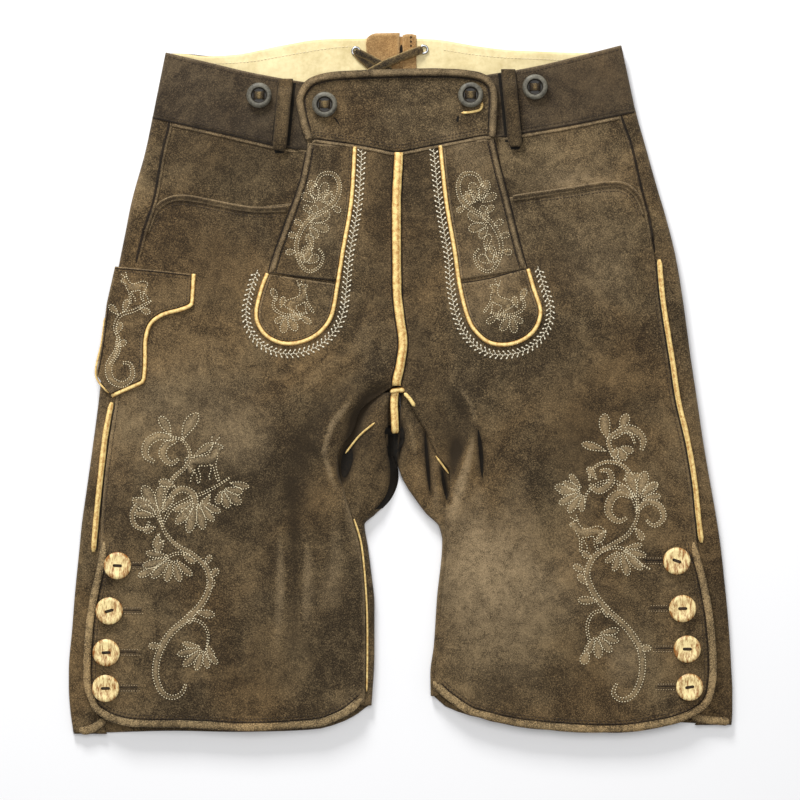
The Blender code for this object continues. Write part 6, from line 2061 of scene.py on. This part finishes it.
def embroider(name, motif, spot, trees, seed, size=0.5, pitch=2.35, pad=0.6, pale=0.36):
    """Stitched outlines and padded forms of a motif."""
    work = ThreadWork(trees, seed)
    verts, faces, wear_and_shade = [], [], []

    def padded(line):
        first = len(verts)
        for n, (a, b) in enumerate(zip(*both_sides(line))):
            end = min(n, len(line) - 1 - n) / max(1, len(line) - 1)
            rise = pad * min(1.0, end * 7) * min(1.0, line[n][1] / 1.4)
            for k in range(5):
                p = spot_point(spot, Point(*between(a, b, 0.06 + 0.88 * k / 4)))
                lift = rise * (1 - (k / 2 - 1) ** 2)
                verts.append((*p, top_of(trees, *p) + 0.03 + lift))
                # Painted highlight on the crown of each padded form and painted shade towards its
                # edges.
                wear_and_shade.append(pale * lift / pad - 0.1 * (1 - lift / pad))
        for a, b, c, d in grid_faces(len(line), 5, first):
            faces.append((a, b, c, d) if spot.wide > 0 else (a, d, c, b))

    def stitched(path):
        work.run([spot_point(spot, p) for p in path], pitch, size, gap=0.45)

    for form in motif:
        if isinstance(form, Stem):
            line = stem_line(form)
            for edge in both_sides(line):
                stitched(edge)
            if form.width > 2.8:
                padded(line)
        elif isinstance(form, Beast):
            for lines in (BEAST_OUTLINE, *BEAST_LINES):
                stitched(smooth_line([beast_point(form, *p) for p in lines], 0.9))
            for leaf in BEAST_PADS:
                padded([(beast_point(form, *p), half * form.size) for p, half in leaf_line(leaf)])
        else:
            for leaf in (fan_leaves(form) if isinstance(form, Fan) else [form]):
                line = leaf_line(leaf)
                left, right = both_sides(line)
                stitched(left + right[::-1])
                if leaf.wide > 5.4 and leaf.long > 12 and isinstance(form, Leaf):
                    stitched([p for p, _ in line[1:len(line) * 3 // 4]])
                padded(line)
    stand_for(mesh_object(f"padding_{name}", verts, faces, PAD_SUEDE, wear_and_shade), "suede")
    work.finish(f"embroidery_{name}", PALE_THREAD, "piping")


# %% The drawing of the right leg
RIGHT_LEG = (
    Stem(5.4, (0, -234, -3, -242, -11, -246, -20, -241, -25, -226, -23, -208, -14, -190, 0, -176,
        13, -162, 20, -146, 18, -130, 6, -117, -8, -108, -18, -95, -22, -80)),
    Stem(2.0, (-8, -184, 3, -176, 14, -179, 19, -190, 17, -204)), Fan(16, -200, -122, 96, 6, 20),
    Leaf(18, -198, -78, 15, 7.5, 0.1), Stem(2.0, (4, -117, -8, -116, -18, -122, -28, -132)),
    Fan(-10, -118, -118, 100, 6, 23), Leaf(-24, -128, 214, 18, 6, -0.1),
    Leaf(-2, -116, -50, 13, 6, 0.2), Fan(-21, -84, 116, 76, 5, 25),
    Stem(4.4, (-21, -88, -26, -74, -36, -70, -44, -78, -43, -90, -34, -94, -30, -86)),
    Leaf(-22, -98, 250, 15, 7, 0.2), Leaf(-25, -92, 200, 11, 6, 0.1),
    Stem(2.6, (-20, -92, -12, -76, 2, -67, 16, -61, 28, -54, 38, -47)),
    Fan(10, -66, -92, 84, 6, 25), Fan(30, -56, -58, 62, 4, 18), Leaf(37, -52, -14, 17, 6, 0.0),
    Beast(17, -34, 36, 6, 1),
    Stem(3.0, (-18, -76, -17, -62, -10, -48, 0, -38, 4, -26, -2, -14, -14, -10)),
    Stem(7.0, (-10, -13, -22, -10, -32, -17, -33, -28, -25, -34)),
    Stem(6.0, (-7, -14, -16, -18, -19, -27, -12, -35, -5, -30)), Leaf(-2, -14, 78, 27, 10, -0.28),
    Leaf(-12, -10, 112, 20, 8, 0.1), Leaf(6, -30, 38, 22, 7, 0.0),
    Stem(5.4, (-14, -66, -4, -58, 6, -62, 8, -74, 0, -84)), Leaf(19, -150, 62, 12, 6, 0.2),
    Leaf(20, -138, 40, 11, 6, 0.2), Leaf(16, -126, 48, 10, 5, 0.2), Leaf(8, -168, -18, 17, 7, 0.1),
    Leaf(-18, -104, 232, 13, 6, 0.2), Leaf(-28, -72, 150, 14, 6, 0.2),
    Leaf(-4, -74, -40, 15, 7, -0.2), Leaf(-20, -200, 168, 11, 6, 0.2),
    Leaf(3, -180, 70, 12, 6, 0.2), Leaf(-8, -56, 150, 15, 7, 0.2), Leaf(21, -62, -118, 17, 7, 0.0),
)
print("forms on the right leg:", len(RIGHT_LEG))

# %% The drawing of the left leg, with the game at the lower side
LEFT_LEG = (
    Stem(5.2, (-5, -236, -2, -245, -9, -251, -19, -246, -26, -228, -25, -206, -14, -186, 2, -170,
        14, -154, 20, -136, 14, -120, 0, -110, -14, -100, -22, -84, -22, -66)),
    Stem(2.2, (-6, -178, 4, -170, 15, -172, 20, -184, 18, -200, 22, -214)),
    Fan(13, -190, -128, 88, 5, 20), Leaf(20, -204, -82, 15, 8, 0.1),
    Fan(-8, -112, -118, 104, 6, 21),
    Stem(2.0, (8, -116, -2, -112, -12, -114, -24, -126, -34, -132)), Fan(-22, -70, 104, 88, 5, 23),
    Stem(4.6, (-21, -80, -30, -70, -41, -74, -44, -85, -36, -92, -29, -86)),
    Stem(2.6, (-22, -78, -16, -62, -4, -52, 10, -53, 20, -62, 22, -72)),
    Fan(22, -60, -16, 96, 6, 20), Leaf(30, -60, 12, 18, 7, 0.0),
    Stem(6.6, (-18, -66, -8, -62, 0, -68, 2, -80, -6, -88, -14, -84)), Beast(20, -100, 30, -8, 1),
    Stem(3.0, (-21, -66, -18, -48, -8, -36, 6, -34, 17, -42, 18, -52)),
    Stem(6.0, (18, -54, 10, -60, 0, -52, 2, -42, 10, -42)),
    Stem(3.4, (-8, -36, -1, -26, 2, -14, -6, -6, -16, -8, -20, -18)),
    Stem(7.0, (-2, -12, -10, -4, -20, -5, -27, -14, -25, -24)), Leaf(2, -14, 66, 24, 9, 0.3),
    Leaf(-8, -6, 108, 17, 8, 0.0), Leaf(4, -24, 24, 22, 7, -0.1), Fan(-6, -18, -110, 60, 3, 14),
    Leaf(19, -146, 40, 13, 6, 0.2), Leaf(21, -134, 22, 12, 6, 0.2), Leaf(16, -122, 30, 10, 6, 0.2),
    Leaf(10, -160, -4, 18, 7, 0.1), Leaf(-20, -94, 228, 13, 6, 0.2), Leaf(4, -96, -60, 14, 6, 0.1),
    Leaf(-22, -204, 170, 12, 6, 0.2), Leaf(3, -176, 74, 12, 6, 0.2),
    Leaf(-10, -50, 158, 16, 7, 0.2), Leaf(12, -50, 52, 14, 6, 0.1),
    Leaf(-26, -60, 148, 15, 6, 0.1),
)
STRAP_MOTIF = (
    Stem(3.6, (-9, 30, -6, 41, 4, 44, 11, 36, 11, 23, 3, 12, -6, 3, -11, -8, -12, -21, -6, -34, 3,
        -40, 11, -34, 12, -24, 6, -19)), Fan(-2, 16, 104, 84, 4, 17), Leaf(6, 30, 250, 12, 6, 0.2),
    Fan(-8, -2, 20, 82, 4, 17), Fan(0, -36, 96, 60, 3, 14), Leaf(-10, -4, 158, 9, 5, 0.1),
    Leaf(-12, -14, 178, 9, 5, 0.0), Stem(2.4, (2, 30, -2, 24, -8, 22, -11, 28, -7, 33)),
    Leaf(2, -22, 110, 14, 6, 0.2), Leaf(-6, -30, 70, 11, 5, 0.1), Leaf(-11, -26, 202, 9, 5, 0.0),
    Leaf(-5, 8, 150, 10, 5, 0.1), Leaf(9, 18, -20, 9, 5, 0.0),
)
TONGUE_MOTIF = (
    Beast(2, 1, 27, 26, 1), Fan(-9, -9, -80, 92, 4, 13), Leaf(2, -10, -40, 12, 5, 0.1),
    Stem(2.0, (-18, 6, -20, -3, -13, -9, -3, -10, 9, -8)), Leaf(-17, 2, 108, 11, 5, 0.1),
    Leaf(-14, -4, 70, 10, 4.4, 0.1),
)
KNIFE_MOTIF = (
    Beast(8, 66, 24, 10, -1), Stem(2.4, (22, 56, 8, 48, -4, 44, -9, 34, -6, 24, -8, 12, -14, 2)),
    Leaf(-6, 44, 128, 12, 5, 0.1), Leaf(-8, 28, 60, 11, 5, 0.1), Leaf(-2, 46, 66, 12, 5, 0.1),
    Leaf(12, 50, -30, 10, 5, 0.1), Leaf(-7, 18, 24, 9, 5, 0.1),
    Stem(5.6, (-6, 26, -7, 14, -14, 2, -12, -10, -2, -14, 6, -7, 4, 3, -3, 4)),
)
print("forms on the left leg:", len(LEFT_LEG), "and on a strap:", len(STRAP_MOTIF))

# %% Embroider everything
SMALL_WORK = {"size": 0.44, "pitch": 2.0, "pad": 0.4, "pale": 0.16}
embroider("leg_r", RIGHT_LEG, Spot(-180, -34, 1, 0.93, 0), surfaces(front_panels["r"]), 41)
embroider("leg_l", LEFT_LEG, Spot(177, -34, -1, 0.92, 0), surfaces(front_panels["l"]), 42)
for name, motif, spot, piece, seed in (
        ("strap_r", STRAP_MOTIF, Spot(-70, 134, 1, 1, -14), straps["r"], 43),
        ("strap_l", STRAP_MOTIF, Spot(68, 134, -1, 1, 14), straps["l"], 44),
        ("tongue_r", TONGUE_MOTIF, Spot(-86, 68, 1, 1, 0), tongues["r"], 45),
        ("tongue_l", TONGUE_MOTIF, Spot(84, 68, -1, 1, 0), tongues["l"], 46)):
    embroider(name, motif, spot, surfaces(piece), seed, **SMALL_WORK)
embroider("knife_sheath", KNIFE_MOTIF, Spot(-230, 14, 1, 1, 0), surfaces(knife), 47, 0.5, 2.0,
          0.4, 0.2)
so_far("embroidery")

# %% [markdown]
# ## Camera, floor and light
# The garment is seen straight from above, a little below its middle. A long lens from high up
# keeps the folds, which stand higher than the hems, from looking too large. A large soft light
# overhead with a weaker one from the waist's side gives the small shadows below buttons and seams,
# and a pale floor takes the soft shadow round the edge.

# %% Camera, floor and lights
EYE_HEIGHT, EYE_OVER = 2.6, (-0.0005, -0.0139)
VIEW_WIDTH, MEAN_LEVEL = 0.672, 0.010  # width seen at the middle height of the garment, in m
FLOOR_HALF, FLOOR_LEVEL = 4.0, -0.0003
camera_data = bpy.data.cameras.new("camera")
camera_data.sensor_width = 36.0
camera_data.lens = camera_data.sensor_width * (EYE_HEIGHT - MEAN_LEVEL) / VIEW_WIDTH
camera = new_object("camera", camera_data)
camera.location = (*EYE_OVER, EYE_HEIGHT)
bpy.context.scene.camera = camera

floor_mesh = bpy.data.meshes.new("floor")
floor_mesh.from_pydata([(x * FLOOR_HALF, y * FLOOR_HALF, FLOOR_LEVEL)
                        for x, y in ((-1, -1), (1, -1), (1, 1), (-1, 1))], [], [(0, 1, 2, 3)])
floor = new_object("floor", floor_mesh)
floor_paint = bpy.data.materials.new("floor_paint")
floor_paint.use_nodes = True
feed(floor_paint.node_tree, floor_paint.node_tree.nodes["Principled BSDF"], {
    "Base Color": (0.92, 0.92, 0.93, 1), "Roughness": 0.9, "Specular IOR Level": 0.1})
floor_mesh.materials.append(floor_paint)


def area_light(name, place, size, power):
    """Square soft lamp at a place, turned to the garment."""
    data = bpy.data.lights.new(name, "AREA")
    data.size = size
    data.energy = power
    light = new_object(name, data)
    light.location = place
    light.rotation_euler = (Vector() - Vector(place)).to_track_quat("-Z", "Y").to_euler()


area_light("overhead", (0.0, 0.4, 2.2), 1.4, 22)
area_light("from_the_waist", (-0.45, 1.5, 0.85), 0.5, 30)
world = bpy.data.worlds.new("studio")
world.use_nodes = True
sky = world.node_tree.nodes["Background"]
feed(world.node_tree, sky, {"Color": (1, 1, 1, 1), "Strength": 0.42})
bpy.context.scene.world = world
bpy.context.scene.view_settings.view_transform = "Standard"
print("lens:", round(camera_data.lens, 1), "mm")

# %% [markdown]
# ## The cut of each piece of leather is not worked out
# The last cell only runs over both sides and makes nothing.

# %% An empty pass over both sides
for side in BOTH:
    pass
